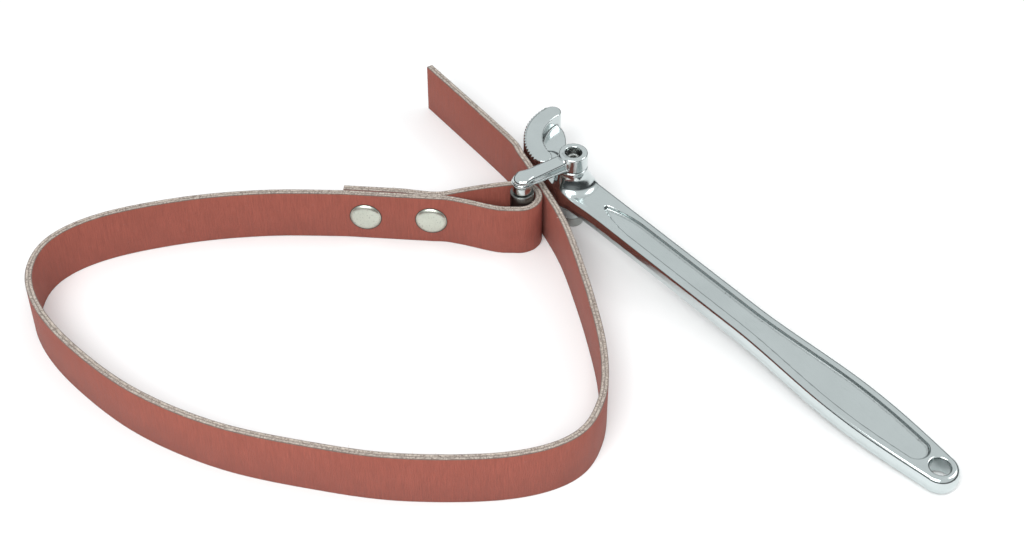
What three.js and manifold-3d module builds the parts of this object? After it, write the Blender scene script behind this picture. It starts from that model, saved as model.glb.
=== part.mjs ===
// A strap wrench for oil filters, in millimetres, +Z up.
// The origin is on the handle's pivot axis at table level, and +X runs along the handle to its hang hole.
// A forged handle with a toothed jaw turns on a pivot screw. A link swings on the same screw and carries
// a roller inside the sewn-back eye of a flat strap. The strap's free end comes back between eye and jaw.
import * as THREE from "three";
import { mergeVertices } from "three/addons/utils/BufferGeometryUtils.js";
import Module from "manifold-3d";

// Clearances.
const RUNNING = 0.1; // radial, between a shaft and the hole it turns in
const GAP = 0.3; // between pieces that sit against each other

// Strap.
const STRAP_WIDTH = 25;
const STRAP_THICK = 3;
const EYE_BORE_R = 7.4; // inside of the eye that goes round the roller
const TAIL_LENGTH = 103.5; // free end, from the nip to the square cut
const NIP_GAP = 0.4; // between the strap and the outside of its own eye
const STRAP_STEP = 6;
const EYE_STEP = 1.6;
const EYE_FROM = -50; // where the strap joins and leaves the round of its eye, in degrees
const EYE_TO = 155;

// Rivets.
const RIVET_SPACING = 29.2;
const RIVET_INSET = 9.8; // from the folded end to the first rivet
const RIVET_HEAD_R = 7.15;
const RIVET_HEAD_RISE = 1.3;
const RIVET_SHANK_R = 2.5;
const RIVET_TAIL_R = 3.9;
const RIVET_TAIL_RISE = 0.8;
const RIVET_CAP_R = 6;
const RIVET_CAP_THICK = 0.9;

// Pivot screw.
const SCREW_R = 4;
const SCREW_HEAD_R = 5.4;
const SCREW_HEAD_HEIGHT = 4.2;
const SCREW_HEAD_CHAMFER = 0.5;
const SCREW_THREAD_R = 3.4;
const SCREW_THREAD_SHORT = 3; // how far the threaded end stops below the link's top
const SCREW_SOCKET_R = 1.9; // six-sided drive socket, across its corners
const SCREW_SOCKET_DEPTH = 2.4;
const WASHER_R = 5.9;
const WASHER_THICK = 0.9;

// Handle.
const HUB_R = 6.6;
const HUB_FLARE_R = 9.8;
const HUB_FLARE_RISE = 5;
const HANDLE_LENGTH = 209; // pivot to hang hole
const SHANK_HALF_WIDTH = 8.9;
const GRIP_HALF_WIDTH = 11.7;
const GRIP_SWELL_START = 105;
const GRIP_WIDEST_AT = 163;
const SHANK_THICK = 8.4;
const TIP_R = 8.2;
const HANG_HOLE_R = 4.3;
const RECESS_DEPTH = 1.9;
const RECESS_RIM = 3.9;
const RECESS_START = 21;
const RECESS_TO_HOLE = 6.6; // from the recess's end to the hang hole's centre

// Jaw.
const JAW_R = 29;
const JAW_CLEARANCE = 1.4; // between the heel's teeth and the strap
const JAW_HEEL_ALONG = 18.3; // from the nip to the heel, along the strap
const JAW_RIM_WIDTH = 8.7;
const JAW_HEIGHT = 16;
const JAW_WEB_THICK = 5;
const JAW_TIP_ANGLE = 178;
const JAW_HEEL_ANGLE = 262;
const TOOTH_PITCH = 2;
const TOOTH_DEPTH = 0.7;

// Link.
const LINK_LENGTH = 26.3;
const LINK_ANGLE = -101;
const LINK_EYE_R = 6.45;
const LINK_EYE_HEIGHT = 7.2;
const LINK_OVER_STRAP = 7; // from the strap's top edge to the link's underside
const ARM_HALF_WIDTH = 3.1;
const ARM_HEIGHT = 6.4;
const ARM_NOSE_R = 4.2;
const ARM_NOSE_HEIGHT = 4;
const ARM_CHAMFER_ACROSS = 1.3;
const ARM_CHAMFER_UP = 1.6;
const ARM_LEDGE_THICK = 1.4;
const ARM_LEDGE_OUT = 0.5;
const PIN_R = 3.1;
const PIN_FOOT_Z = 0.8;
const ROLLER_R = 5.3;
const ROLLER_FOOT_Z = 3.6;
const PIN_NECK = 3.8; // bare pin between the roller and the arm
const EYE_SLACK_GAP = 0.4; // between the roller and the side of the eye it is pulled against
const ROLLER_WASHER_R = 5;
const ROLLER_WASHER_THICK = 0.8;
const CLIP_R = 4.5;
const CLIP_THICK = 0.7;
const CLIP_GROOVE = 0.6; // radial depth of the groove that holds the clip
const CLIP_MOUTH = 60; // degrees left open

// Heights along the pivot that follow from the sizes above.
const WASHER_Z = SCREW_HEAD_HEIGHT + GAP;
const HUB_Z = WASHER_Z + WASHER_THICK + GAP;
const LINK_Z = STRAP_WIDTH + LINK_OVER_STRAP;
const HUB_TOP = LINK_Z - GAP;
const HUB_HEIGHT = HUB_TOP - HUB_Z;
const HEAD_MID_Z = HUB_Z + HUB_HEIGHT / 2;
const LINK_TOP = LINK_Z + LINK_EYE_HEIGHT;
const ROLLER_HEIGHT = LINK_Z - PIN_NECK - ROLLER_FOOT_Z;
const CLIP_Z = ROLLER_FOOT_Z - 2 * GAP - ROLLER_WASHER_THICK - CLIP_THICK;
const SHANK_SLOPE = (HEAD_MID_Z - SHANK_THICK / 2) / (HANDLE_LENGTH + TIP_R);
const THREAD_BORE_R = SCREW_THREAD_R + GAP;

const ROUND = 40; // sides of a round piece
const radians = THREE.MathUtils.degToRad;
const smoothstep = THREE.MathUtils.smoothstep;
const lerp = THREE.MathUtils.lerp;
const point = (x, y) => new THREE.Vector2(x, y);
const polar = (centre, r, degrees) =>
  point(centre.x + r * Math.cos(radians(degrees)), centre.y + r * Math.sin(radians(degrees)));

// ---- The plan: where pin, eye, strap and jaw lie about the pivot ----

const pinAxis = polar(point(0, 0), LINK_LENGTH, LINK_ANGLE);

// The strap is pulled against the jaw side of the roller, so its eye sits off the pin towards the loop.
const eyeSlack = EYE_BORE_R - ROLLER_R - EYE_SLACK_GAP;
const strapEye = polar(pinAxis, eyeSlack, -164);
const fromEye = (x, y) => strapEye.clone().add(point(x, y));
const eyeMidR = EYE_BORE_R + STRAP_THICK / 2;

// The nip is where the strap comes back past its own eye. A point is so far along the strap from
// there, towards the tail, and so far out from its middle line, towards the pivot.
const nipWay = polar(point(0, 0), 1, 160);
const nipOut = point(nipWay.y, -nipWay.x);
const nipPlace = strapEye.clone().addScaledVector(nipOut, eyeMidR + STRAP_THICK + NIP_GAP);
const atNip = (along, out = 0) =>
  nipPlace.clone().addScaledVector(nipWay, along).addScaledVector(nipOut, out);

// The toothed arc just clears the strap at its heel.
const jawHeel = atNip(JAW_HEEL_ALONG, STRAP_THICK / 2 + JAW_CLEARANCE);
const jawCentre = polar(jawHeel, JAW_R, JAW_HEEL_ANGLE + 180);
const fromJaw = (x, y) => jawCentre.clone().add(point(x, y));

const wasm = await Module();
wasm.setup();

// ---- Solids ----

function solid(geometry) {
  const bare = geometry.clone();
  bare.deleteAttribute("normal");
  bare.deleteAttribute("uv");
  const merged = mergeVertices(bare, 1e-4);
  const vertices = merged.attributes.position.array;
  const triVerts = new Uint32Array(merged.index.array);
  return new wasm.Manifold(new wasm.Mesh({ numProp: 3, vertProperties: vertices, triVerts }));
}

function geometryOf(manifold) {
  const mesh = manifold.getMesh();
  const geometry = new THREE.BufferGeometry();
  geometry.setAttribute("position", new THREE.BufferAttribute(mesh.vertProperties, 3));
  geometry.setIndex(new THREE.BufferAttribute(mesh.triVerts, 1));
  return geometry;
}

const join = (first, ...rest) => rest.reduce((whole, one) => whole.add(one), first);

// A flat outline raised from z by height.
function plate(shape, z, height, curveSegments = 12) {
  const geometry = new THREE.ExtrudeGeometry(shape, { depth: height, bevelEnabled: false, curveSegments });
  return solid(geometry.translate(0, 0, z));
}

// A solid turned about Z from pairs of radius and height, drawn upwards from the axis back to the axis.
function turned(pairs, sides = ROUND) {
  const profile = pairs.map(([r, z]) => point(r, z));
  return solid(new THREE.LatheGeometry(profile, sides).rotateX(Math.PI / 2));
}

function rod(r, z, height, sides = ROUND) {
  const top = z + height;
  return turned([[0, z], [r, z], [r, top], [0, top]], sides);
}

// A ring turned about Z, whose profile closes on itself.
function ring(inner, outer, z, height, sides = ROUND) {
  const pairs = [[inner, z], [outer, z], [outer, z + height], [inner, z + height], [inner, z]];
  return turned(pairs, sides);
}

// ---- Handle ----

function halfWidth(x) {
  if (x < GRIP_WIDEST_AT) {
    return lerp(SHANK_HALF_WIDTH, GRIP_HALF_WIDTH, smoothstep(x, GRIP_SWELL_START, GRIP_WIDEST_AT));
  }
  const along = (x - GRIP_WIDEST_AT) / (HANDLE_LENGTH - GRIP_WIDEST_AT);
  return TIP_R + (GRIP_HALF_WIDTH - TIP_R) * Math.cos((along * Math.PI) / 2);
}

// Both sides of the shank between two stations, inset from its edge.
function shankSides(from, to, inset, steps) {
  const far = [];
  for (let i = 0; i <= steps; i += 1) {
    const x = lerp(from, to, i / steps);
    far.push(point(x, halfWidth(x) - inset));
  }
  const near = far.map((p) => point(p.x, -p.y)).reverse();
  return { far, near };
}

function shankShape() {
  const { far, near } = shankSides(4, HANDLE_LENGTH, 0, 22);
  const shape = new THREE.Shape();
  shape.setFromPoints([...near].reverse());
  shape.absarc(HANDLE_LENGTH, 0, TIP_R, radians(-84), radians(84), false);
  [...far].reverse().forEach((p) => shape.lineTo(p.x, p.y));
  return shape;
}

// The recess starts as a blunt point near the hub and ends as a round just short of the hang hole.
function recessShape() {
  const end = HANDLE_LENGTH - RECESS_TO_HOLE;
  const { far, near } = shankSides(RECESS_START + 16, end - 7, RECESS_RIM, 20);
  const shape = new THREE.Shape();
  shape.moveTo(RECESS_START, -1);
  shape.splineThru([point(RECESS_START + 7, -3.6), near.at(-1)]);
  [...near].reverse().forEach((p) => shape.lineTo(p.x, p.y));
  shape.splineThru([point(end - 2, -4), point(end, 0), point(end - 2, 4), far.at(-1)]);
  [...far].reverse().forEach((p) => shape.lineTo(p.x, p.y));
  shape.splineThru([point(RECESS_START + 7, 3.6), point(RECESS_START, 1)]);
  return shape;
}

// Tips a level plate down along +X so that the handle's far end rests on the table.
function sloped(manifold) {
  const shear = new THREE.Matrix4().set(1, 0, 0, 0, 0, 1, 0, 0, -SHANK_SLOPE, 0, 1, HEAD_MID_Z, 0, 0, 0, 1);
  return manifold.transform(shear.toArray());
}

function jawShape() {
  const arc = radians(JAW_HEEL_ANGLE - JAW_TIP_ANGLE) * JAW_R;
  const teeth = Math.round(arc / TOOTH_PITCH);
  const step = (JAW_HEEL_ANGLE - JAW_TIP_ANGLE) / teeth;
  const outer = [];
  for (let i = 0; i < teeth; i += 1) {
    const angle = JAW_TIP_ANGLE + i * step;
    outer.push(polar(jawCentre, JAW_R - TOOTH_DEPTH, angle), polar(jawCentre, JAW_R, angle + step / 2));
  }
  const inner = [];
  for (let angle = JAW_HEEL_ANGLE; angle >= JAW_TIP_ANGLE; angle -= 7) {
    inner.push(polar(jawCentre, JAW_R - JAW_RIM_WIDTH, angle));
  }
  const capCentre = polar(jawCentre, JAW_R - JAW_RIM_WIDTH / 2, JAW_TIP_ANGLE);
  const cap = [];
  for (let angle = 0; angle <= 180; angle += 20) {
    cap.push(polar(capCentre, JAW_RIM_WIDTH / 2 - TOOTH_DEPTH / 2, angle));
  }
  return new THREE.Shape([...outer, polar(jawCentre, JAW_R, JAW_HEEL_ANGLE), ...inner, ...cap]);
}

// The plate that carries the hub and joins the shank to the jaw's rim.
function headShape() {
  const outline = [
    point(24, -SHANK_HALF_WIDTH),
    point(9, -HUB_FLARE_R - 0.6), // bulges round the hub's near side
    point(-3, -HUB_FLARE_R + 0.2),
    polar(jawCentre, JAW_R - TOOTH_DEPTH, JAW_HEEL_ANGLE),
    fromJaw(-10.5, -25),
    fromJaw(-9.5, -15),
    fromJaw(-3.5, -13.4),
    fromJaw(4.5, -15.4),
    point(0, HUB_FLARE_R - 0.4),
    point(10, SHANK_HALF_WIDTH - 0.9),
    point(24, SHANK_HALF_WIDTH),
  ];
  return new THREE.Shape(new THREE.SplineCurve(outline).getPoints(44));
}

// The thin floor behind the jaw's rim.
function webShape() {
  const rim = [180, 196, 214, 232, 250].map((angle) => polar(jawCentre, JAW_R - JAW_RIM_WIDTH / 2, angle));
  const back = [fromJaw(2.5, -19), fromJaw(-5, -13.2), fromJaw(-10.9, -6), fromJaw(-17.7, 2.2)];
  return new THREE.Shape([...back, ...rim]);
}

function hub() {
  const upper = [];
  for (let angle = 0; angle <= 90; angle += 18) {
    const r = HUB_FLARE_R - (HUB_FLARE_R - HUB_R) * Math.sin(radians(angle));
    const z = SHANK_THICK / 2 + HUB_FLARE_RISE * (1 - Math.cos(radians(angle)));
    upper.push([r, z]);
  }
  upper.push([HUB_R, HUB_HEIGHT / 2], [0, HUB_HEIGHT / 2]);
  const lower = upper.map(([r, z]) => [r, -z]).reverse();
  return turned([...lower, ...upper].map(([r, z]) => [r, z + HEAD_MID_Z]));
}

function handle() {
  const shank = sloped(plate(shankShape(), -SHANK_THICK / 2, SHANK_THICK));
  const recessFloor = SHANK_THICK / 2 - RECESS_DEPTH;
  const recess = recessShape();
  const cut = 3 * RECESS_DEPTH;
  const upperRecess = sloped(plate(recess, recessFloor, cut, 5));
  const lowerRecess = sloped(plate(recess, -recessFloor - cut, cut, 5));
  const head = plate(headShape(), HEAD_MID_Z - SHANK_THICK / 2, SHANK_THICK);
  const jaw = plate(jawShape(), HEAD_MID_Z - JAW_HEIGHT / 2, JAW_HEIGHT);
  const web = plate(webShape(), HEAD_MID_Z - JAW_WEB_THICK / 2, JAW_WEB_THICK);
  const bore = rod(SCREW_R + RUNNING, HUB_Z - 1, HUB_HEIGHT + 2);
  const hangHole = rod(HANG_HOLE_R, -1, SHANK_THICK + 4).translate(HANDLE_LENGTH, 0, 0);
  return join(shank, head, jaw, web, hub())
    .subtract(upperRecess)
    .subtract(lowerRecess)
    .subtract(bore)
    .subtract(hangHole);
}

// ---- Pivot ----

function pivotScrew() {
  const shoulder = HUB_TOP + GAP / 2;
  const end = LINK_TOP - SCREW_THREAD_SHORT;
  const body = turned([
    [0, 0],
    [SCREW_HEAD_R - SCREW_HEAD_CHAMFER, 0],
    [SCREW_HEAD_R, SCREW_HEAD_CHAMFER],
    [SCREW_HEAD_R, SCREW_HEAD_HEIGHT - SCREW_HEAD_CHAMFER],
    [SCREW_HEAD_R - SCREW_HEAD_CHAMFER, SCREW_HEAD_HEIGHT],
    [SCREW_R, SCREW_HEAD_HEIGHT],
    [SCREW_R, shoulder],
    [SCREW_THREAD_R, shoulder],
    [SCREW_THREAD_R, end],
    [0, end],
  ]);
  return body.subtract(rod(SCREW_SOCKET_R, end - SCREW_SOCKET_DEPTH, SCREW_SOCKET_DEPTH + 1, 6));
}

const pivotWasher = () => ring(SCREW_R + GAP, WASHER_R, WASHER_Z, WASHER_THICK);

// ---- Link, drawn with its arm along +X and the pivot at the origin ----

// The arm in plan: a bar that ends in a round nose over the pin.
function armShape(out) {
  const shape = new THREE.Shape();
  shape.moveTo(0, -ARM_HALF_WIDTH - out);
  shape.lineTo(LINK_LENGTH - ARM_NOSE_R, -ARM_HALF_WIDTH - out);
  shape.absarc(LINK_LENGTH, 0, ARM_NOSE_R + out, radians(-115), radians(115), false);
  shape.lineTo(LINK_LENGTH - ARM_NOSE_R, ARM_HALF_WIDTH + out);
  shape.lineTo(0, ARM_HALF_WIDTH + out);
  return shape;
}

function link() {
  const eye = rod(LINK_EYE_R, LINK_Z, LINK_EYE_HEIGHT);
  const ledge = plate(armShape(ARM_LEDGE_OUT), LINK_Z, ARM_LEDGE_THICK, 14);
  const upper = new THREE.ExtrudeGeometry(armShape(0), {
    bevelEnabled: true,
    bevelSize: ARM_CHAMFER_ACROSS,
    bevelOffset: -ARM_CHAMFER_ACROSS,
    bevelThickness: ARM_CHAMFER_UP,
    bevelSegments: 2,
    depth: ARM_HEIGHT - 2 * ARM_CHAMFER_UP,
    curveSegments: 14,
  });
  const bar = solid(upper.translate(0, 0, LINK_Z + ARM_CHAMFER_UP));
  const fall = Math.atan2(ARM_HEIGHT - ARM_NOSE_HEIGHT, LINK_LENGTH);
  const above = new THREE.BoxGeometry(4 * LINK_LENGTH, 4 * LINK_EYE_R, 2 * ARM_HEIGHT);
  above.translate(0, 0, ARM_HEIGHT);
  above.rotateY(fall);
  const wedge = solid(above.translate(0, 0, LINK_Z + ARM_HEIGHT));
  const pinTop = LINK_Z + ARM_LEDGE_THICK;
  const pin = rod(PIN_R, PIN_FOOT_Z, pinTop - PIN_FOOT_Z);
  const groove = ring(PIN_R - CLIP_GROOVE, PIN_R + 1, CLIP_Z - GAP / 2, CLIP_THICK + GAP);
  const legs = pin.subtract(groove).translate(LINK_LENGTH, 0, 0);
  const arm = join(bar.subtract(wedge), ledge);
  const bore = rod(THREAD_BORE_R, LINK_Z - 1, LINK_EYE_HEIGHT + 2);
  return join(eye, arm, legs).subtract(bore);
}

const roller = () => ring(PIN_R + RUNNING, ROLLER_R, ROLLER_FOOT_Z, ROLLER_HEIGHT);

const rollerWasher = () =>
  ring(PIN_R + GAP, ROLLER_WASHER_R, ROLLER_FOOT_Z - GAP - ROLLER_WASHER_THICK, ROLLER_WASHER_THICK);

function rollerClip() {
  const shape = new THREE.Shape();
  const from = radians(CLIP_MOUTH / 2);
  const to = 2 * Math.PI - from;
  shape.absarc(0, 0, CLIP_R, from, to, false);
  shape.absarc(0, 0, PIN_R - CLIP_GROOVE + RUNNING, to, from, true);
  return plate(shape, CLIP_Z, CLIP_THICK, 20);
}

// ---- Strap ----

// The two layers lie flat against each other between the folded end and the eye.
const lapStart = fromEye(-53.4, -56);
const lapAlong = polar(point(0, 0), 1, 43.3);
const lapOut = point(-lapAlong.y, lapAlong.x);
const lapPitch = STRAP_THICK + GAP;
const onLap = (along, out = 0) =>
  lapStart.clone().addScaledVector(lapAlong, along).addScaledVector(lapOut, out);
const LAP_LENGTH = RIVET_INSET + RIVET_SPACING + RIVET_HEAD_R + GAP;

// Points every step or so along a smooth curve through the given ones.
function smooth(points, step) {
  const curve = new THREE.SplineCurve(points);
  return curve.getSpacedPoints(Math.ceil(curve.getLength() / step));
}

// The strap's middle line, from the square-cut tail round the loop and the eye to the folded end.
function strapLine() {
  const free = [
    atNip(TAIL_LENGTH, -16),
    atNip(42, -1.6),
    atNip(28.5, -0.4),
    atNip(16),
    atNip(0),
    atNip(-17.4, -0.2),
    fromEye(36.6, -2.5),
    fromEye(67.6, -20.7),
    fromEye(94.6, -39.3),
    fromEye(112.6, -58.2),
    fromEye(119.2, -78.7),
    fromEye(109.6, -103.7),
    fromEye(83.6, -134.2),
    fromEye(55.6, -156.7),
    fromEye(21.6, -178.2),
    fromEye(-15.4, -191.7),
    fromEye(-53.4, -196.1),
    fromEye(-82.4, -193.7),
    fromEye(-102.4, -184.7),
    fromEye(-113.4, -167.7),
    fromEye(-111.4, -143.2),
    fromEye(-96.4, -110.5),
    fromEye(-76.4, -81.3),
    onLap(0),
  ];
  const nearLap = [onLap(RIVET_INSET), onLap(RIVET_INSET + RIVET_SPACING), onLap(LAP_LENGTH)];
  const eyeFrom = polar(strapEye, eyeMidR, EYE_FROM);
  const eyeTo = polar(strapEye, eyeMidR, EYE_TO);
  const intoEye = [onLap(LAP_LENGTH), fromEye(-12.9, -19.9), fromEye(-0.4, -12.7), eyeFrom];
  const eye = [];
  const turn = (EYE_STEP / eyeMidR) * (180 / Math.PI);
  for (let angle = EYE_FROM + turn; angle < EYE_TO; angle += turn) {
    eye.push(polar(strapEye, eyeMidR, angle));
  }
  const ontoLap = [eyeTo, fromEye(-12.2, -2.7), fromEye(-17.8, -12.7), onLap(LAP_LENGTH - 1, lapPitch)];
  return [
    ...smooth(free, STRAP_STEP),
    ...nearLap,
    ...smooth(intoEye, STRAP_STEP / 2).slice(1),
    ...eye,
    ...smooth(ontoLap, STRAP_STEP / 2),
    onLap(RIVET_INSET + RIVET_SPACING / 2, lapPitch),
    onLap(0, lapPitch),
  ];
}

// A flat band that stands on edge along a line: four corners at each station.
function band(line, width, thick) {
  const corners = [];
  line.forEach((p, i) => {
    const before = line[Math.max(i - 1, 0)];
    const after = line[Math.min(i + 1, line.length - 1)];
    const way = after.clone().sub(before).normalize();
    const left = point(-way.y, way.x).multiplyScalar(thick / 2);
    corners.push(p.x + left.x, p.y + left.y, 0, p.x - left.x, p.y - left.y, 0);
    corners.push(p.x - left.x, p.y - left.y, width, p.x + left.x, p.y + left.y, width);
  });
  const faces = [0, 1, 2, 0, 2, 3];
  for (let i = 0; i < line.length - 1; i += 1) {
    for (let side = 0; side < 4; side += 1) {
      const a = 4 * i + side;
      const b = 4 * i + ((side + 1) % 4);
      faces.push(a, a + 4, b, b, a + 4, b + 4);
    }
  }
  const last = 4 * (line.length - 1);
  faces.push(last, last + 2, last + 1, last, last + 3, last + 2);
  const geometry = new THREE.BufferGeometry();
  geometry.setAttribute("position", new THREE.BufferAttribute(new Float32Array(corners), 3));
  geometry.setIndex(faces);
  return solid(geometry);
}

// Stands a solid drawn along +Z on the lap's inner face, pointing through both layers.
function onRivetAxis(manifold, along) {
  const foot = onLap(along, -STRAP_THICK / 2);
  const turn = new THREE.Matrix4().makeBasis(
    new THREE.Vector3(lapAlong.x, lapAlong.y, 0),
    new THREE.Vector3(0, 0, -1),
    new THREE.Vector3(lapOut.x, lapOut.y, 0),
  );
  turn.premultiply(new THREE.Matrix4().makeTranslation(foot.x, foot.y, STRAP_WIDTH / 2));
  return manifold.transform(turn.toArray());
}

const rivetPlaces = [RIVET_INSET + RIVET_SPACING, RIVET_INSET];
const lapThick = STRAP_THICK + lapPitch;

function rivet() {
  const head = [[0, -GAP / 2 - RIVET_HEAD_RISE]];
  for (const share of [0.5, 0.8, 0.95]) {
    head.push([RIVET_HEAD_R * share, -GAP / 2 - RIVET_HEAD_RISE * (1 - share ** 3)]);
  }
  const tailZ = lapThick + RIVET_CAP_THICK + 2 * GAP;
  return turned([
    ...head,
    [RIVET_HEAD_R, -GAP / 2],
    [RIVET_SHANK_R, -GAP / 2],
    [RIVET_SHANK_R, tailZ],
    [RIVET_TAIL_R, tailZ],
    [RIVET_TAIL_R * 0.8, tailZ + RIVET_TAIL_RISE],
    [0, tailZ + RIVET_TAIL_RISE],
  ]);
}

const rivetCap = () => ring(RIVET_SHANK_R + GAP, RIVET_CAP_R, lapThick + GAP, RIVET_CAP_THICK);

function strap() {
  const hole = rod(RIVET_SHANK_R + GAP, -1, lapThick + 2);
  return rivetPlaces.reduce(
    (whole, along) => whole.subtract(onRivetAxis(hole, along)),
    band(strapLine(), STRAP_WIDTH, STRAP_THICK),
  );
}

// ---- The assembly ----

const FINISHES = {
  chrome: { color: 0xb9c4c4, metalness: 1, roughness: 0.22 },
  darkSteel: { color: 0x5c6265, metalness: 1, roughness: 0.4 },
  nickel: { color: 0xc8c3b4, metalness: 1, roughness: 0.35 },
  strap: { color: 0xa5564a, metalness: 0, roughness: 0.85 },
};

function piece(name, manifold, finish) {
  const mesh = new THREE.Mesh(geometryOf(manifold), new THREE.MeshStandardMaterial(FINISHES[finish]));
  mesh.name = name;
  return mesh;
}

const wrench = new THREE.Group();
wrench.add(
  piece("handle", handle(), "chrome"),
  piece("pivot_screw", pivotScrew(), "darkSteel"),
  piece("pivot_washer", pivotWasher(), "chrome"),
  piece("strap", strap(), "strap"),
);

const swing = new THREE.Group();
swing.rotation.z = radians(LINK_ANGLE);
swing.add(piece("link", link(), "chrome"));
const onPin = new THREE.Group();
onPin.position.x = LINK_LENGTH;
onPin.add(
  piece("roller", roller(), "darkSteel"),
  piece("roller_washer", rollerWasher(), "darkSteel"),
  piece("roller_clip", rollerClip(), "darkSteel"),
);
swing.add(onPin);
wrench.add(swing);

rivetPlaces.forEach((along, i) => {
  wrench.add(
    piece(`rivet_${i + 1}`, onRivetAxis(rivet(), along), "nickel"),
    piece(`rivet_cap_${i + 1}`, onRivetAxis(rivetCap(), along), "nickel"),
  );
});

export default wrench;
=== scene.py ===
"""Looks of a strap wrench for oil filters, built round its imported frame.

The forged pieces are skins of smooth solid fields, the turned pieces are lathed, and what repeats
or follows a path is made by geometry nodes. Lengths are in metres; MM turns millimetres into them.
"""

import itertools
import math

import bmesh
import bpy
import numpy as np
from bpy.props import FloatProperty, FloatVectorProperty, IntProperty, PointerProperty
from bpy.types import Operator, Panel, PropertyGroup
from mathutils import Matrix, Vector


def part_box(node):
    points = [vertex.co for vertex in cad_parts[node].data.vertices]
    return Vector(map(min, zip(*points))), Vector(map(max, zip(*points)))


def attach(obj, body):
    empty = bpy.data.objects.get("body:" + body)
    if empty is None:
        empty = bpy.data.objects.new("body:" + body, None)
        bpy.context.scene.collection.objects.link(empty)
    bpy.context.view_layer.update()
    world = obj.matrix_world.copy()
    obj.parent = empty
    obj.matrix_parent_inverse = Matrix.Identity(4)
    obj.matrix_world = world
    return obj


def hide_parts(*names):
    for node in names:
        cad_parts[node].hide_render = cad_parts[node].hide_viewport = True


bl_info = {
    "name": "Strap wrench",
    "version": (1, 0, 0),
    "blender": (4, 5, 0),
    "location": "3D View > Sidebar > Wrench",
    "description": "Builds the looks of a strap wrench for oil filters round its packed frame",
    "category": "Object",
}

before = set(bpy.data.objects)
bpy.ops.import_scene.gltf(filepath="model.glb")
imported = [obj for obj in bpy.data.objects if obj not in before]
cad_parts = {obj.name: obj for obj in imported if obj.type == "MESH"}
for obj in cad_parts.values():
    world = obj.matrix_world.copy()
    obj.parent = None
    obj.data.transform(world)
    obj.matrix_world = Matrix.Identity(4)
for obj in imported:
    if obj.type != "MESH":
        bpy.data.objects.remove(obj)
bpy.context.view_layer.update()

MM = 0.001
SIDES = 96  # sides of a turned piece
SLABS = 24  # a field is worked out in this many steps along X
CLEAR_CELLS = 1.5  # empty cells kept round a field
SNAP_ROUNDS = 3  # how often a skin's points are moved onto the field
SNAP_REACH = 0.3  # how far round a point, in cells, the field's slope is taken
SAME_PLACE = 1e-6  # points nearer than this are one
ON_FLOOR = 1e-5  # points lower than this lie on the floor
SQUARE_END = math.radians(60)  # a strap's outline turns more than this only at its ends
PLAY = 0.3 * MM  # gap between pieces that turn on each other


# ---- Sizes and colours that a user would change ----


def length(name, description, millimetres):
    return FloatProperty(
        name=name,
        description=description,
        default=millimetres * MM,
        min=0.0,
        subtype="DISTANCE",
        unit="LENGTH",
        precision=5,
    )


def colour(name, description, red, green, blue):
    return FloatVectorProperty(
        name=name,
        description=description,
        default=(red, green, blue),
        min=0.0,
        max=1.0,
        size=3,
        subtype="COLOR",
    )


class HandleSizes(PropertyGroup):
    hub_radius: length("Hub radius", "Radius of the tall hub round the pivot screw", 6.6)
    hub_flare: length("Hub flare", "How much wider the hub is where it meets the shank", 3.5)
    hub_fillet: length("Hub fillet", "Radius between the flared hub and the shank", 2.2)
    hub_height: length("Hub height", "From the hub's foot to its top", 26)
    bore_radius: length("Bore radius", "Radius of the hole for the pivot screw", 4.1)
    shank_half_width: length("Shank half width", "Half the shank's width next to the hub", 8.9)
    grip_half_width: length("Grip half width", "Half the width where the grip is widest", 11.7)
    swell_start: length("Swell start", "Where the grip starts to widen, from the pivot", 105)
    widest_at: length("Widest at", "Where the grip is widest, from the pivot", 163)
    tip_radius: length("Tip radius", "Radius of the rounded end", 8.2)
    thickness: length("Thickness", "Thickness of the shank and head", 8.4)
    edge_round: length("Edge rounding", "Radius of the forging's outer edges", 1.9)
    hang_hole_radius: length("Hang hole radius", "Radius of the hole at the grip's end", 4.3)
    recess_depth: length("Recess depth", "Depth of the long recess in each face", 1.9)
    recess_rim: length("Recess rim", "Width of the rim left beside the recess", 3.9)
    recess_start: length("Recess start", "Where the recess starts, from the pivot", 21)
    recess_to_hole: length("Recess to hole", "From the recess's end to the hang hole's centre", 6.6)
    draft: FloatProperty(
        name="Draft",
        description="Slope of the forging's sides away from its parting line",
        default=math.radians(9),
        min=0.0,
        subtype="ANGLE",
        unit="ROTATION",
    )
    cell: length("Skin cell", "Cell size of the handle's skin", 0.5)


class JawSizes(PropertyGroup):
    radius: length("Jaw radius", "Radius of the toothed arc at the tips of its teeth", 29)
    rim_width: length("Rim width", "Width of the thick rim behind the teeth", 8.7)
    height: length("Jaw height", "Height of the rim", 16)
    web_thickness: length("Web thickness", "Thickness of the web behind the rim", 5)
    tooth_pitch: length("Tooth pitch", "From tooth to tooth along the arc", 2)
    tooth_depth: length("Tooth depth", "Height of a tooth", 0.75)
    tip_angle: IntProperty(
        name="Tip angle",
        description="Where the arc starts, in degrees about its centre",
        default=178,
    )
    heel_angle: IntProperty(
        name="Heel angle",
        description="Where the arc ends, in degrees about its centre",
        default=262,
    )


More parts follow.
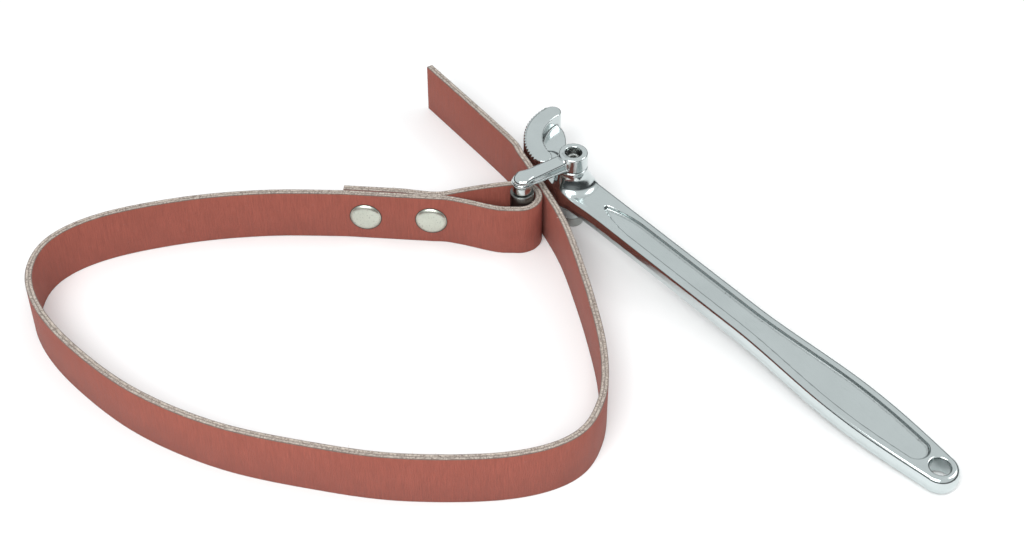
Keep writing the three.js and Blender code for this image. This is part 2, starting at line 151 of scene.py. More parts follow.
class LinkSizes(PropertyGroup):
    eye_radius: length("Eye radius", "Outer radius of the tapped eye", 6.45)
    eye_height: length("Eye height", "Height of the tapped eye", 7.2)
    bore_radius: length("Bore radius", "Radius of the eye's hole at the thread's roots", 3.7)
    arm_half_width: length("Arm half width", "Half the width of the arm", 3.3)
    arm_height: length("Arm height", "Height of the arm next to the eye", 6.7)
    nose_radius: length("Nose radius", "Radius of the arm's round end", 4.1)
    nose_height: length("Nose height", "Height of the arm over the pin", 4.7)
    crown: length("Crown", "Radius of the arm's rounded upper edges", 1.9)
    ledge_height: length("Ledge height", "Height of the thin ledge round the arm's foot", 0.9)
    ledge_out: length("Ledge", "How far the ledge stands out", 0.5)
    foot_rise: length("Arm rise", "How far the arm's foot is above the eye's foot", 1.0)
    pin_radius: length("Pin radius", "Radius of the pin that carries the roller", 3.1)
    collar_radius: length("Collar radius", "Radius of the collar over the roller", 4.2)
    groove_depth: length("Groove depth", "Depth of the clip's groove in the pin", 0.6)
    thread_pitch: length("Thread pitch", "From turn to turn of the screw thread", 1.25)
    cell: length("Skin cell", "Cell size of the link's skin", 0.28)


class StrapSizes(PropertyGroup):
    corner: length("Corner", "Radius of the strap's long edges", 0.28)
    seam_depth: length("Seam depth", "Depth of the groove between the two plies", 0.3)
    seam_width: length("Seam width", "Width of the groove between the two plies", 0.36)
    station: length("Station", "Distance between cross sections along the strap", 1.1)
    raggedness: length("Raggedness", "How uneven the cut edges are", 0.16)
    weave_pitch: length("Weave pitch", "From yarn to yarn of the canvas", 0.62)
    loose_length: length("Loose thread", "Length of a loose yarn end on a cut edge", 1.3)
    loose_radius: length("Loose thread radius", "Radius of a loose yarn end", 0.055)
    loose_density: FloatProperty(
        name="Loose threads",
        description="Loose yarn ends for each square metre of cut edge",
        default=70000,
        min=0.0,
    )


class RivetSizes(PropertyGroup):
    head_radius: length("Head radius", "Radius of the wide flat head", 7.15)
    head_rise: length("Head rise", "Height of the head in its middle", 1.15)
    # The head's lip is drawn almost black by the nickel finish, as a painted shadow round the head.
    head_shadow_lip: length("Head lip", "Width of the thin lip that's pressed into the belt", 0.4)
    shank_radius: length("Shank radius", "Radius of the rivet's shank", 2.5)
    tail_radius: length("Tail radius", "Radius of the clinched tail", 3.9)
    tail_rise: length("Tail rise", "Height of the clinched tail", 0.8)
    cap_thickness: length("Cap thickness", "Thickness of the washer under the tail", 0.9)
    clearance: length("Clearance", "Gap between rivet, washer and strap", 0.3)


class Finish(PropertyGroup):
    chrome: colour("Chrome", "Plated forgings", 0.60, 0.655, 0.655)
    steel: colour("Steel", "Roller, screw, washers and clip", 0.25, 0.26, 0.25)
    nickel: colour("Nickel", "Rivets and their washers", 0.60, 0.635, 0.555)
    rubber: colour("Rubber", "Brick-red skin of the belt", 0.30, 0.084, 0.060)
    canvas: colour("Canvas", "Undyed yarns in the cut edges", 0.46, 0.40, 0.345)
    seam: colour("Seam", "Dark glue lines between the layers", 0.10, 0.065, 0.055)
    floor: colour("Floor", "Pale floor", 0.86, 0.86, 0.86)


class WrenchSettings(PropertyGroup):
    handle: PointerProperty(type=HandleSizes)
    jaw: PointerProperty(type=JawSizes)
    link: PointerProperty(type=LinkSizes)
    strap: PointerProperty(type=StrapSizes)
    rivet: PointerProperty(type=RivetSizes)
    finish: PointerProperty(type=Finish)


def settings():
    return bpy.context.scene.wrench


# ---- Places that the frame gives ----


def box_facts(node):
    """Middle, radius in plan, foot and top of a round upright node."""
    low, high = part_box(node)
    middle = (low + high) / 2
    return middle, (high.y - low.y) / 2, low.z, high.z


def hub_span(sizes):
    """Foot and top of the hub."""
    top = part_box("handle")[1].z
    return top - sizes.hub_height, top


def hang_hole_x(sizes):
    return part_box("handle")[1].x - sizes.tip_radius


def jaw_centre(sizes):
    """Middle of the toothed arc: the arc's far side and the round tip reach the handle's box."""
    low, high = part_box("handle")
    tip = math.radians(sizes.tip_angle)
    middle_radius = sizes.radius - sizes.rim_width / 2
    tip_radius = (sizes.rim_width - sizes.tooth_depth) / 2
    return low.x + sizes.radius, high.y - middle_radius * math.sin(tip) - tip_radius


def strap_outline():
    """Both sides of the foot of the frame's strap, as two equally long rows of stations."""
    mesh = bmesh.new()
    mesh.from_mesh(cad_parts["strap"].data)
    bmesh.ops.remove_doubles(mesh, verts=mesh.verts, dist=SAME_PLACE)
    flat = {f for f in mesh.faces if all(abs(v.co.z) < ON_FLOOR for v in f.verts)}
    rim = {e for f in flat for e in f.edges if sum(g in flat for g in e.link_faces) == 1}
    beside = {}
    for edge in rim:
        a, b = edge.verts
        beside.setdefault(a, []).append(b)
        beside.setdefault(b, []).append(a)
    first = next(iter(beside))
    loop = [first, beside[first][0]]
    while loop[-1] is not first:
        a, b = beside[loop[-1]]
        loop.append(b if a is loop[-2] else a)
    points = np.array([v.co[:2] for v in loop[:-1]])
    mesh.free()
    before = points - np.roll(points, 1, 0)
    after = np.roll(points, -1, 0) - points
    turn = np.abs(np.arctan2(np.cross(before, after), (before * after).sum(1)))
    corners = np.flatnonzero(turn > SQUARE_END)
    if len(corners) != 4 or len(points) % 2:
        raise RuntimeError("the frame's strap isn't a band with four corners")
    # The two short sides are the ends. The tail is the end that is nearer the jaw.
    start = next(c for c in corners if (c + 1) % len(points) in corners)
    points = np.roll(points, -start - 1, 0)
    half = len(points) // 2
    one, other = points[:half], points[half:][::-1]
    if one[0, 1] < one[-1, 1]:
        one, other = one[::-1], other[::-1]
    way = one[1] - one[0]
    across = one[0] - other[0]
    return (one, other) if np.cross(way, across) > 0 else (other, one)


def eased(points, step):
    """Points about a step apart on a smooth curve through the given ones."""
    points = np.asarray(points, float)
    gaps = np.linalg.norm(np.diff(points[:, :2], axis=0), axis=1)
    knots = np.concatenate([[0], np.cumsum(gaps)])
    slopes = np.gradient(points, knots, axis=0)
    count = int(math.ceil(knots[-1] / step))
    places = np.linspace(0, knots[-1], count + 1)
    i = np.clip(np.searchsorted(knots, places, side="right") - 1, 0, len(gaps) - 1)
    h = gaps[i][:, None]
    t = ((places - knots[i]) / gaps[i])[:, None]
    return (
        (1 + 2 * t) * (1 - t) ** 2 * points[i]
        + t * (1 - t) ** 2 * h * slopes[i]
        + t**2 * (3 - 2 * t) * points[i + 1]
        + t**2 * (t - 1) * h * slopes[i + 1]
    )


# ---- Solid fields: negative inside, with rounded meetings ----


def blunt(a, b, radius):
    """What both fields hold, with the edge between them rounded off."""
    corner = np.hypot(np.maximum(a + radius, 0), np.maximum(b + radius, 0))
    return np.minimum(np.maximum(a, b), -radius) + corner


def merged(a, b, radius):
    """What either field holds, with a fillet between them."""
    corner = np.hypot(np.maximum(radius - a, 0), np.maximum(radius - b, 0))
    return np.maximum(np.minimum(a, b), radius) - corner


def smooth_step(value, start, end):
    t = np.clip((value - start) / (end - start), 0, 1)
    return t * t * (3 - 2 * t)


def outline_field(x, y, outline):
    """Distance in plan to a closed outline."""
    nearest = np.full(np.broadcast(x, y).shape, np.inf)
    inside = np.zeros(nearest.shape, bool)
    for (ax, ay), (bx, by) in zip(outline, np.roll(outline, -1, 0)):
        along_x, along_y = bx - ax, by - ay
        t = ((x - ax) * along_x + (y - ay) * along_y) / (along_x**2 + along_y**2)
        t = np.clip(t, 0, 1)
        nearest = np.minimum(nearest, (x - ax - t * along_x) ** 2 + (y - ay - t * along_y) ** 2)
        if ay != by:
            inside ^= ((ay > y) != (by > y)) & (x < (y - ay) * along_x / along_y + ax)
    return np.where(inside, -1, 1) * np.sqrt(nearest)


def softened(points):
    """A closed outline with its corners cut off, three times over."""
    points = np.array(points, float)
    for _ in range(3):
        after = np.roll(points, -1, 0)
        cuts = [0.75 * points + 0.25 * after, 0.25 * points + 0.75 * after]
        points = np.stack(cuts, 1).reshape(-1, 2)
    return points


def grid_crossings(values, cells):
    """For each mixed cell, the mean place where the field crosses its edges, in cells."""
    total = np.zeros(cells.shape)
    hits = np.zeros(len(cells))
    for axis in range(3):
        others = [a for a in range(3) if a != axis]
        for shift in itertools.product((0, 1), repeat=2):
            low = cells.copy()
            low[:, others] += shift
            high = low.copy()
            high[:, axis] += 1
            a, b = values[tuple(low.T)], values[tuple(high.T)]
            crosses = (a < 0) != (b < 0)
            share = a[crosses] / (a[crosses] - b[crosses])
            place = low[crosses].astype(float)
            place[:, axis] += share
            total[crosses] += place
            hits += crosses
    return total / hits[:, None]


def snapped(field, points, reach):
    """Points moved onto the field's surface, with the normals and how far it bends there."""
    for _ in range(SNAP_ROUNDS):
        middle = field(*points.T)
        slope = np.empty(points.shape)
        around = np.zeros(len(points))
        for axis in range(3):
            step = np.zeros(3)
            step[axis] = reach
            ahead, behind = field(*(points + step).T), field(*(points - step).T)
            slope[:, axis] = (ahead - behind) / (2 * reach)
            around += ahead + behind
        size = np.linalg.norm(slope, axis=1)
        bend = (around - 6 * middle) / reach**2
        points = points - slope * (middle / size**2)[:, None]
    return points, slope / size[:, None], bend


def skin(name, field, low, high, cell):
    """A closed mesh of the field's surface, with true normals and a "bend" attribute."""
    before, after = CLEAR_CELLS * cell, (CLEAR_CELLS + 1) * cell
    axes = [np.arange(a - before, b + after, cell) for a, b in zip(low, high)]
    x, y, z = np.ix_(*axes)
    shape = (y.shape[1], z.shape[2])
    slabs = [np.broadcast_to(field(s, y, z), (len(s), *shape)) for s in np.array_split(x, SLABS)]
    values = np.concatenate(slabs)
    inside = values < 0
    corners = sum(
        inside[i : i - 1 or None, j : j - 1 or None, k : k - 1 or None].astype(np.int8)
        for i, j, k in itertools.product((0, 1), repeat=3)
    )
    mixed = (corners > 0) & (corners < 8)
    cells = np.argwhere(mixed)
    index = np.full(mixed.shape, -1)
    index[mixed] = np.arange(len(cells))
    quads = []
    for axis in range(3):
        a, b = np.eye(3, dtype=int)[[(axis + 1) % 3, (axis + 2) % 3]]
        near = np.take(inside, range(inside.shape[axis] - 1), axis)
        far = np.take(inside, range(1, inside.shape[axis]), axis)
        edges = np.argwhere(near != far)
        four = [index[tuple((edges - shift).T)] for shift in (0 * a, a, a + b, b)]
        four = np.stack(four, 1)
        leaving = near[tuple(edges.T)]
        quads += [four[leaving], four[~leaving][:, ::-1]]
    quads = np.concatenate(quads)
    origin = np.array([a[0] for a in axes])
    points = origin + grid_crossings(values, cells) * cell
    parts = [snapped(field, p, SNAP_REACH * cell) for p in np.array_split(points, SLABS)]
    points, normals, bend = (np.concatenate(p) for p in zip(*parts))
    mesh = bpy.data.meshes.new(name)
    mesh.from_pydata(points.tolist(), [], quads.tolist())
    mesh.attributes.new("bend", "FLOAT", "POINT").data.foreach_set("value", bend * MM)
    smooth(mesh)
    mesh.normals_split_custom_set_from_vertices(normals.tolist())
    return mesh


# ---- Objects ----


def placed(name, mesh, *materials):
    """A new object at the origin that holds the mesh."""
    obj = bpy.data.objects.new(name, mesh)
    bpy.context.scene.collection.objects.link(obj)
    for one in materials:
        mesh.materials.append(one)
    return obj


def claim(obj, body, slot, *nodes):
    """The piece rides on its body and stands for its nodes. Its slot is not used."""
    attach(obj, body)
    if nodes:
        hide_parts(*nodes)


def rounded(profile, radius, steps=4):
    """A profile of (radius, height) pairs whose corners are arcs; its two ends stay as they are."""
    points = [Vector(p[:2]) for p in profile]
    result = [tuple(points[0])]
    for before, corner, after in zip(points, points[1:], points[2:]):
        back, ahead = before - corner, after - corner
        size = min(radius, 0.45 * back.length, 0.45 * ahead.length)
        start, end = corner + back.normalized() * size, corner + ahead.normalized() * size
        for i in range(steps + 1):
            t = i / steps
            place = start * (1 - t) ** 2 + corner * 2 * t * (1 - t) + end * t**2
            result.append(tuple(place))
    result.append(tuple(points[-1]))
    return result


def smooth(mesh):
    """All the mesh's faces shade smoothly."""
    mesh.polygons.foreach_set("use_smooth", np.ones(len(mesh.polygons), bool))
    return mesh


def crisp(mesh, degrees=32):
    """Edges sharper than this stay sharp in smooth shading."""
    mesh.set_sharp_from_angle(angle=math.radians(degrees))
    return mesh


def outwards(name, mesh):
    """A named mesh made of an edited one, which is used up, with its faces pointing outwards."""
    bmesh.ops.recalc_face_normals(mesh, faces=mesh.faces)
    data = bpy.data.meshes.new(name)
    mesh.to_mesh(data)
    mesh.free()
    return data


def capped_rings(name, rings):
    """A closed mesh through rings of equally many places, with both of its ends filled."""
    mesh = bmesh.new()
    rings = [[mesh.verts.new(place) for place in ring] for ring in rings]
    for lower, upper in zip(rings, rings[1:]):
        for i in range(len(lower)):
            j = (i + 1) % len(lower)
            mesh.faces.new([lower[i], lower[j], upper[j], upper[i]])
    mesh.faces.new(rings[0][::-1])
    mesh.faces.new(rings[-1])
    return outwards(name, mesh)


def rounded_ring(corners, radius):
    """A closed ring's profile, with all its corners rounded."""
    start = tuple((Vector(corners[0]) + Vector(corners[-1])) / 2)
    return rounded([start, *corners, start], radius)[:-1]


def washer_ring(inner, outer, low, high, radius):
    """The profile of a flat washer with rounded edges."""
    return rounded_ring([(inner, low), (outer, low), (outer, high), (inner, high)], radius)


def turned(name, profile, centre=(0, 0), hexagon=()):
    """A closed mesh turned about an upright axis. It closes on itself unless it starts on the axis.

    The profile's entries whose numbers are in hexagon are six-sided rings. Its "reach" attribute
    is the distance from the axis, as a share of the largest.
    """
    mesh = bmesh.new()
    rings = []
    for number, (r, z) in enumerate(profile):
        if r < SAME_PLACE:
            rings.append([mesh.verts.new((centre[0], centre[1], z))] * SIDES)
            continue
        ring = []
        for i in range(SIDES):
            angle = 2 * math.pi * i / SIDES
            reach = r
            if number in hexagon:
                reach = r * math.cos(math.pi / 6) / math.cos(angle % (math.pi / 3) - math.pi / 6)
            x, y = centre[0] + reach * math.cos(angle), centre[1] + reach * math.sin(angle)
            ring.append(mesh.verts.new((x, y, z)))
        rings.append(ring)
    closed = profile[0][0] > SAME_PLACE
    pairs = zip(rings, rings[1:] + rings[:1]) if closed else zip(rings, rings[1:])
    for lower, upper in pairs:
        for i in range(SIDES):
            j = (i + 1) % SIDES
            corners = [lower[i], lower[j], upper[j], upper[i]]
            mesh.faces.new(list(dict.fromkeys(corners)))
    data = outwards(name, mesh)
    reach = [math.hypot(v.co.x - centre[0], v.co.y - centre[1]) for v in data.vertices]
    share = np.array(reach) / max(reach)
    data.attributes.new("reach", "FLOAT", "POINT").data.foreach_set("value", share)
    return smooth(data)


# ---- Node trees ----


def add(tree, kind, inputs=None, **choices):
    """A new node with its choices made and its inputs linked or set, by name or by number."""
    node = tree.nodes.new(kind)
    for key, value in choices.items():
        setattr(node, key, value)
    for key, value in (inputs or {}).items():
        if isinstance(value, bpy.types.Node):
            value = value.outputs[0]
        if isinstance(value, bpy.types.NodeSocket):
            tree.links.new(value, node.inputs[key])
        else:
            node.inputs[key].default_value = value
    return node


def math_node(tree, operation, *values, clamp=False):
    inputs = dict(enumerate(values))
    return add(tree, "ShaderNodeMath", inputs, operation=operation, use_clamp=clamp).outputs[0]


def new_tree(kind, name, inputs, outputs):
    """A node tree with named sockets, its input node and its output node."""
    tree = bpy.data.node_groups.new(name, kind)
    for label, (socket, default) in inputs.items():
        item = tree.interface.new_socket(label, in_out="INPUT", socket_type=socket)
        if default is not None:
            item.default_value = default
    for label, socket in outputs.items():
        tree.interface.new_socket(label, in_out="OUTPUT", socket_type=socket)
    return tree, tree.nodes.new("NodeGroupInput"), tree.nodes.new("NodeGroupOutput")


def geometry_tree(name, inputs):
    every = {"Geometry": ("NodeSocketGeometry", None), **inputs}
    return new_tree("GeometryNodeTree", name, every, {"Geometry": "NodeSocketGeometry"})


def finish_tree(tree, end, geometry, material):
    """The tree's last two nodes, which make its instances real and give them their material."""
    real = add(tree, "GeometryNodeRealizeInstances", {"Geometry": geometry})
    painted = add(tree, "GeometryNodeSetMaterial", {"Geometry": real, "Material": material})
    tree.links.new(painted.outputs[0], end.inputs[0])


def grown(obj, tree, values):
    """The object with its mesh replaced by what the tree makes of it."""
    modifier = obj.modifiers.new(tree.name, "NODES")
    modifier.node_group = tree
    for item in tree.interface.items_tree:
        if item.in_out == "INPUT" and item.name in values:
            modifier[item.identifier] = values[item.name]
    graph = bpy.context.evaluated_depsgraph_get()
    mesh = bpy.data.meshes.new_from_object(
        obj.evaluated_get(graph),
        preserve_all_data_layers=True,
        depsgraph=graph,
    )
    obj.modifiers.remove(modifier)
    obj.data = mesh
    mesh.name = obj.name
    if not mesh.polygons:
        raise RuntimeError(f"{tree.name} made no faces for {obj.name}")
    return obj


CAP_DEPTH = 1e-5  # a belt's points this near its ends along it are on its end caps
FLOAT, VECTOR, COUNT = "NodeSocketFloat", "NodeSocketVector", "NodeSocketInt"
MATERIAL, OBJECT = "NodeSocketMaterial", "NodeSocketObject"


def shared_tree(name, build):
    """A tree that is built the first time it is asked for."""
    return bpy.data.node_groups.get(name) or build(name)


def row_on_arc(name):
    """Copies of one object stand in a row on an arc and face outwards."""
    tree, start, end = geometry_tree(
        name,
        {
            "Copied": (OBJECT, None),
            "Count": (COUNT, 40),
            "Radius": (FLOAT, 0.03),
            "Start": (FLOAT, 0.0),
            "Sweep": (FLOAT, 1.0),
            "Centre": (VECTOR, (0, 0, 0)),
            "Material": (MATERIAL, None),
        },
    )
    source = start.outputs
    arc = add(
        tree,
        "GeometryNodeCurveArc",
        {
            "Resolution": source["Count"],
            "Radius": source["Radius"],
            "Start Angle": source["Start"],
            "Sweep Angle": source["Sweep"],
        },
    )
    copied = add(tree, "GeometryNodeObjectInfo", {"Object": source["Copied"]})
    outward = add(
        tree,
        "FunctionNodeAlignRotationToVector",
        {"Vector": add(tree, "GeometryNodeInputPosition")},
        axis="X",
        pivot_axis="Z",
    )
    row = add(
        tree,
        "GeometryNodeInstanceOnPoints",
        {"Points": arc, "Instance": copied.outputs["Geometry"], "Rotation": outward},
    )
    moved = {"Geometry": row, "Translation": source["Centre"]}
    row = add(tree, "GeometryNodeTransform", moved)
    finish_tree(tree, end, row, source["Material"])
    return tree


def row_on_points(name):
    """Copies of one object stand on the given points, with their own Z turned to one direction."""
    tree, start, end = geometry_tree(
        name,
        {
            "Copied": (OBJECT, None),
            "Direction": (VECTOR, (0, 0, 1)),
            "Material": (MATERIAL, None),
        },
    )
    source = start.outputs
    copied = add(tree, "GeometryNodeObjectInfo", {"Object": source["Copied"]})
    facing = {"Vector": source["Direction"]}
    turn = add(tree, "FunctionNodeAlignRotationToVector", facing, axis="Z")
    row = add(
        tree,
        "GeometryNodeInstanceOnPoints",
        {"Points": source["Geometry"], "Instance": copied.outputs["Geometry"], "Rotation": turn},
    )
    finish_tree(tree, end, row, source["Material"])
    return tree


def screw_turns(name):
    """The ridge of a screw thread about an upright axis."""
    tree, start, end = geometry_tree(
        name,
        {
            "Radius": (FLOAT, 0.003),
            "Pitch": (FLOAT, 0.001),
            "Height": (FLOAT, 0.01),
            "Ridge": (FLOAT, 0.0004),
            "Foot": (VECTOR, (0, 0, 0)),
            "Material": (MATERIAL, None),
        },
    )
    source = start.outputs
    spiral = add(
        tree,
        "GeometryNodeCurveSpiral",
        {
            "Resolution": 48,
            "Rotations": math_node(tree, "DIVIDE", source["Height"], source["Pitch"]),
            "Start Radius": source["Radius"],
            "End Radius": source["Radius"],
            "Height": source["Height"],
        },
    )
    ridge = add(
        tree,
        "GeometryNodeCurvePrimitiveCircle",
        {"Resolution": 6, "Radius": source["Ridge"]},
        mode="RADIUS",
    )
    turns = add(
        tree,
        "GeometryNodeCurveToMesh",
        {"Curve": spiral, "Profile Curve": ridge, "Fill Caps": True},
    )
    moved = {"Geometry": turns, "Translation": source["Foot"]}
    turns = add(tree, "GeometryNodeTransform", moved)
    shaded = add(tree, "GeometryNodeSetShadeSmooth", {"Geometry": turns})
    finish_tree(tree, end, shaded, source["Material"])
    return tree


def named(tree, name, kind="FLOAT"):
    node = add(tree, "GeometryNodeInputNamedAttribute", {"Name": name}, data_type=kind)
    return node.outputs["Attribute"]


def belt_sweep(name):
    """A flat belt on edge: a section is swept along a line, and its cut edges are ragged.

    Its "weave" attribute unrolls the belt: distance along it, depth through it and height up it.
    """
    tree, start, end = geometry_tree(
        name,
        {
            "Section": (OBJECT, None),
            "Half Width": (FLOAT, 0.0125),
            "Length": (FLOAT, 1.0),
            "Raggedness": (FLOAT, 0.0001),
            "Edge Band": (FLOAT, 0.0003),
            "Face Material": (MATERIAL, None),
            "Edge Material": (MATERIAL, None),
        },
    )
    source = start.outputs
    line = add(tree, "GeometryNodeMeshToCurve", {"Mesh": source["Geometry"]})
    line = add(tree, "GeometryNodeSetCurveNormal", {"Curve": line}, mode="Z_UP")
    section = add(tree, "GeometryNodeObjectInfo", {"Object": source["Section"]})
    section = add(tree, "GeometryNodeMeshToCurve", {"Mesh": section.outputs["Geometry"]})
    belt = add(
        tree,
        "GeometryNodeCurveToMesh",
        {"Curve": line, "Profile Curve": section, "Fill Caps": True},
    )
    across = add(tree, "ShaderNodeSeparateXYZ", {0: named(tree, "section", "FLOAT_VECTOR")})
    # The section's own Y points down once it's swept.
    height = math_node(tree, "MULTIPLY", across.outputs["Y"], -1.0)
    place = add(
        tree,
        "ShaderNodeCombineXYZ",
        {"X": named(tree, "along"), "Y": across.outputs["X"], "Z": height},
    )
    belt = add(
        tree,
        "GeometryNodeStoreNamedAttribute",
        {"Geometry": belt, "Name": "weave", "Value": place},
        data_type="FLOAT_VECTOR",
        domain="POINT",
    )
    from_middle = math_node(tree, "ABSOLUTE", height)
    from_edge = math_node(tree, "SUBTRACT", source["Half Width"], from_middle)
    on_edge = math_node(tree, "LESS_THAN", from_edge, source["Edge Band"])
    uneven = noise(tree, named(tree, "weave", "FLOAT_VECTOR"), 620.0)
    ragged = math_node(tree, "MULTIPLY", uneven, source["Raggedness"])
    ragged = math_node(tree, "MULTIPLY", ragged, on_edge)
    inward = math_node(tree, "MULTIPLY", math_node(tree, "SIGN", height), -1.0)
    ragged = math_node(tree, "MULTIPLY", ragged, inward)
    offset = add(tree, "ShaderNodeCombineXYZ", {"Z": ragged})
    belt = add(tree, "GeometryNodeSetPosition", {"Geometry": belt, "Offset": offset})
    belt = add(tree, "GeometryNodeRealizeInstances", {"Geometry": belt})
    faces = {"Geometry": belt, "Material": source["Face Material"]}
    belt = add(tree, "GeometryNodeSetMaterial", faces)
    # A cap's corners are all at one distance along; a side face spans a station.
    tail_cap = math_node(tree, "LESS_THAN", named(tree, "along"), CAP_DEPTH)
    short = math_node(tree, "SUBTRACT", source["Length"], CAP_DEPTH)
    fold_cap = math_node(tree, "GREATER_THAN", named(tree, "along"), short)
    cap = math_node(tree, "MAXIMUM", tail_cap, fold_cap)
    edges = math_node(tree, "MAXIMUM", cap, on_edge)
    edge_face = add(
        tree,
        "GeometryNodeFieldOnDomain",
        {"Value": math_node(tree, "GREATER_THAN", edges, 0.5)},
        domain="FACE",
        data_type="FLOAT",
    )
    chosen = math_node(tree, "GREATER_THAN", edge_face.outputs[0], 0.99)
    belt = add(
        tree,
        "GeometryNodeSetMaterial",
        {"Geometry": belt, "Selection": chosen, "Material": source["Edge Material"]},
    )
    tree.links.new(belt.outputs[0], end.inputs[0])
    return tree


def loose_yarns(name):
    """Short bent yarn ends stand out of the upward cut edge of a belt."""
    tree, start, end = geometry_tree(
        name,
        {
            "Half Width": (FLOAT, 0.0125),
            "Edge Band": (FLOAT, 0.0003),
            "Density": (FLOAT, 1000.0),
            "Thread Length": (FLOAT, 0.001),
            "Thread Radius": (FLOAT, 0.00005),
            "Seed": (COUNT, 7),
            "Material": (MATERIAL, None),
        },
    )
    source = start.outputs
    place = add(tree, "ShaderNodeSeparateXYZ", {0: named(tree, "weave", "FLOAT_VECTOR")})
    limit = math_node(tree, "SUBTRACT", source["Half Width"], source["Edge Band"])
    upper = math_node(tree, "GREATER_THAN", place.outputs["Z"], limit)
    points = add(
        tree,
        "GeometryNodeDistributePointsOnFaces",
        {
            "Mesh": source["Geometry"],
            "Selection": upper,
            "Density": source["Density"],
            "Seed": source["Seed"],
        },
        distribute_method="RANDOM",
    )
    bend = add(
        tree,
        "GeometryNodeCurvePrimitiveBezierSegment",
        {
            "Resolution": 4,
            "Start": (0, 0, 0),
            "Start Handle": (0, 0, 0.4),
            "End Handle": (0.2, 0, 0.8),
            "End": (0.9, 0, 0.75),
        },
        mode="POSITION",
    )
    whole = {0: (1.0, 1.0, 1.0), "Scale": source["Thread Length"]}
    scale = add(tree, "ShaderNodeVectorMath", whole, operation="SCALE")
    bend = add(tree, "GeometryNodeTransform", {"Geometry": bend, "Scale": scale})
    round_section = add(
        tree,
        "GeometryNodeCurvePrimitiveCircle",
        {"Resolution": 5, "Radius": source["Thread Radius"]},
        mode="RADIUS",
    )
    thread = add(
        tree,
        "GeometryNodeCurveToMesh",
        {"Curve": bend, "Profile Curve": round_section, "Fill Caps": True},
    )
    lean = 0.5
    turns = {0: (-lean, -lean, 0), 1: (lean, lean, 2 * math.pi), "Seed": source["Seed"]}
    turn = add(tree, "FunctionNodeRandomValue", turns, data_type="FLOAT_VECTOR")
    sizes = {2: 0.35, 3: 1.0, "Seed": source["Seed"]}
    size = add(tree, "FunctionNodeRandomValue", sizes, data_type="FLOAT")
    turn = add(tree, "FunctionNodeEulerToRotation", {0: turn.outputs[0]})
    threads = add(
        tree,
        "GeometryNodeInstanceOnPoints",
        {
            "Points": points.outputs["Points"],
            "Instance": thread,
            "Rotation": turn,
            "Scale": size.outputs[1],
        },
    )
    finish_tree(tree, end, threads, source["Material"])
    return tree


# ---- Shader groups, each used by more than one finish ----


def noise(tree, vector, scale, detail=2.0, roughness=0.5):
    inputs = {"Vector": vector, "Scale": scale, "Detail": detail, "Roughness": roughness}
    return add(tree, "ShaderNodeTexNoise", inputs).outputs[0]


def ranged(tree, value, low, high, start, end):
    inputs = {0: value, 1: low, 2: high, 3: start, 4: end}
    return add(tree, "ShaderNodeMapRange", inputs).outputs[0]


def mixed_colour(tree, factor, first, second):
    inputs = {0: factor, 6: first, 7: second}
    return add(tree, "ShaderNodeMix", inputs, data_type="RGBA").outputs[2]


def forged_skin(name):
    """Slow waves and fine pits of a forging under its plating."""
    inputs = {"Vector": (VECTOR, None), "Wave": (FLOAT, 90.0), "Pits": (FLOAT, 900.0)}
    outputs = {"Height": FLOAT, "Pitting": FLOAT}
    tree, start, end = new_tree("ShaderNodeTree", name, inputs, outputs)
    vector = start.outputs["Vector"]
    waves = noise(tree, vector, start.outputs["Wave"], 2.0)
    pits = noise(tree, vector, start.outputs["Pits"], 3.0, 0.6)
    pitting = ranged(tree, pits, 0.56, 0.72, 0.0, 1.0)
    fine = math_node(tree, "MULTIPLY", pitting, -0.10)
    tree.links.new(math_node(tree, "ADD", waves, fine), end.inputs["Height"])
    tree.links.new(pitting, end.inputs["Pitting"])
    return tree


def turned_grain(name):
    """Fine rings left by the lathe about an upright axis through the vector's origin."""
    inputs = {"Vector": (VECTOR, None), "Fineness": (FLOAT, 2500.0)}
    tree, start, end = new_tree("ShaderNodeTree", name, inputs, {"Height": FLOAT, "Tone": FLOAT})
    parts = add(tree, "ShaderNodeSeparateXYZ", {0: start.outputs["Vector"]})
    flat = add(tree, "ShaderNodeCombineXYZ", {"X": parts.outputs[0], "Y": parts.outputs[1]})
    reach = add(tree, "ShaderNodeVectorMath", {0: flat}, operation="LENGTH").outputs["Value"]
    rings = add(tree, "ShaderNodeCombineXYZ", {"X": reach, "Z": parts.outputs[2]})
    lines = noise(tree, rings.outputs[0], start.outputs["Fineness"], 2.0)
    broad = noise(tree, start.outputs["Vector"], 260.0, 3.0)
    tree.links.new(lines, end.inputs["Height"])
    tree.links.new(math_node(tree, "MULTIPLY", lines, broad), end.inputs["Tone"])
    return tree


def handling(name):
    """Smears, scuffs and dust that gather unevenly on any finish."""
    outputs = {"Smear": FLOAT, "Scuff": FLOAT, "Dust": FLOAT}
    tree, start, end = new_tree("ShaderNodeTree", name, {"Vector": (VECTOR, None)}, outputs)
    vector = start.outputs["Vector"]
    smear = ranged(tree, noise(tree, vector, 38.0, 4.0, 0.6), 0.35, 0.7, 0.0, 1.0)
    stretched = add(tree, "ShaderNodeMapping", {"Vector": vector, "Scale": (1.0, 9.0, 3.0)})
    scuff = ranged(tree, noise(tree, stretched.outputs[0], 300.0, 3.0, 0.7), 0.62, 0.74, 0.0, 1.0)
    dust = ranged(tree, noise(tree, vector, 1500.0, 2.0, 0.8), 0.64, 0.76, 0.0, 1.0)
    for key, value in (("Smear", smear), ("Scuff", scuff), ("Dust", dust)):
        tree.links.new(value, end.inputs[key])
    return tree


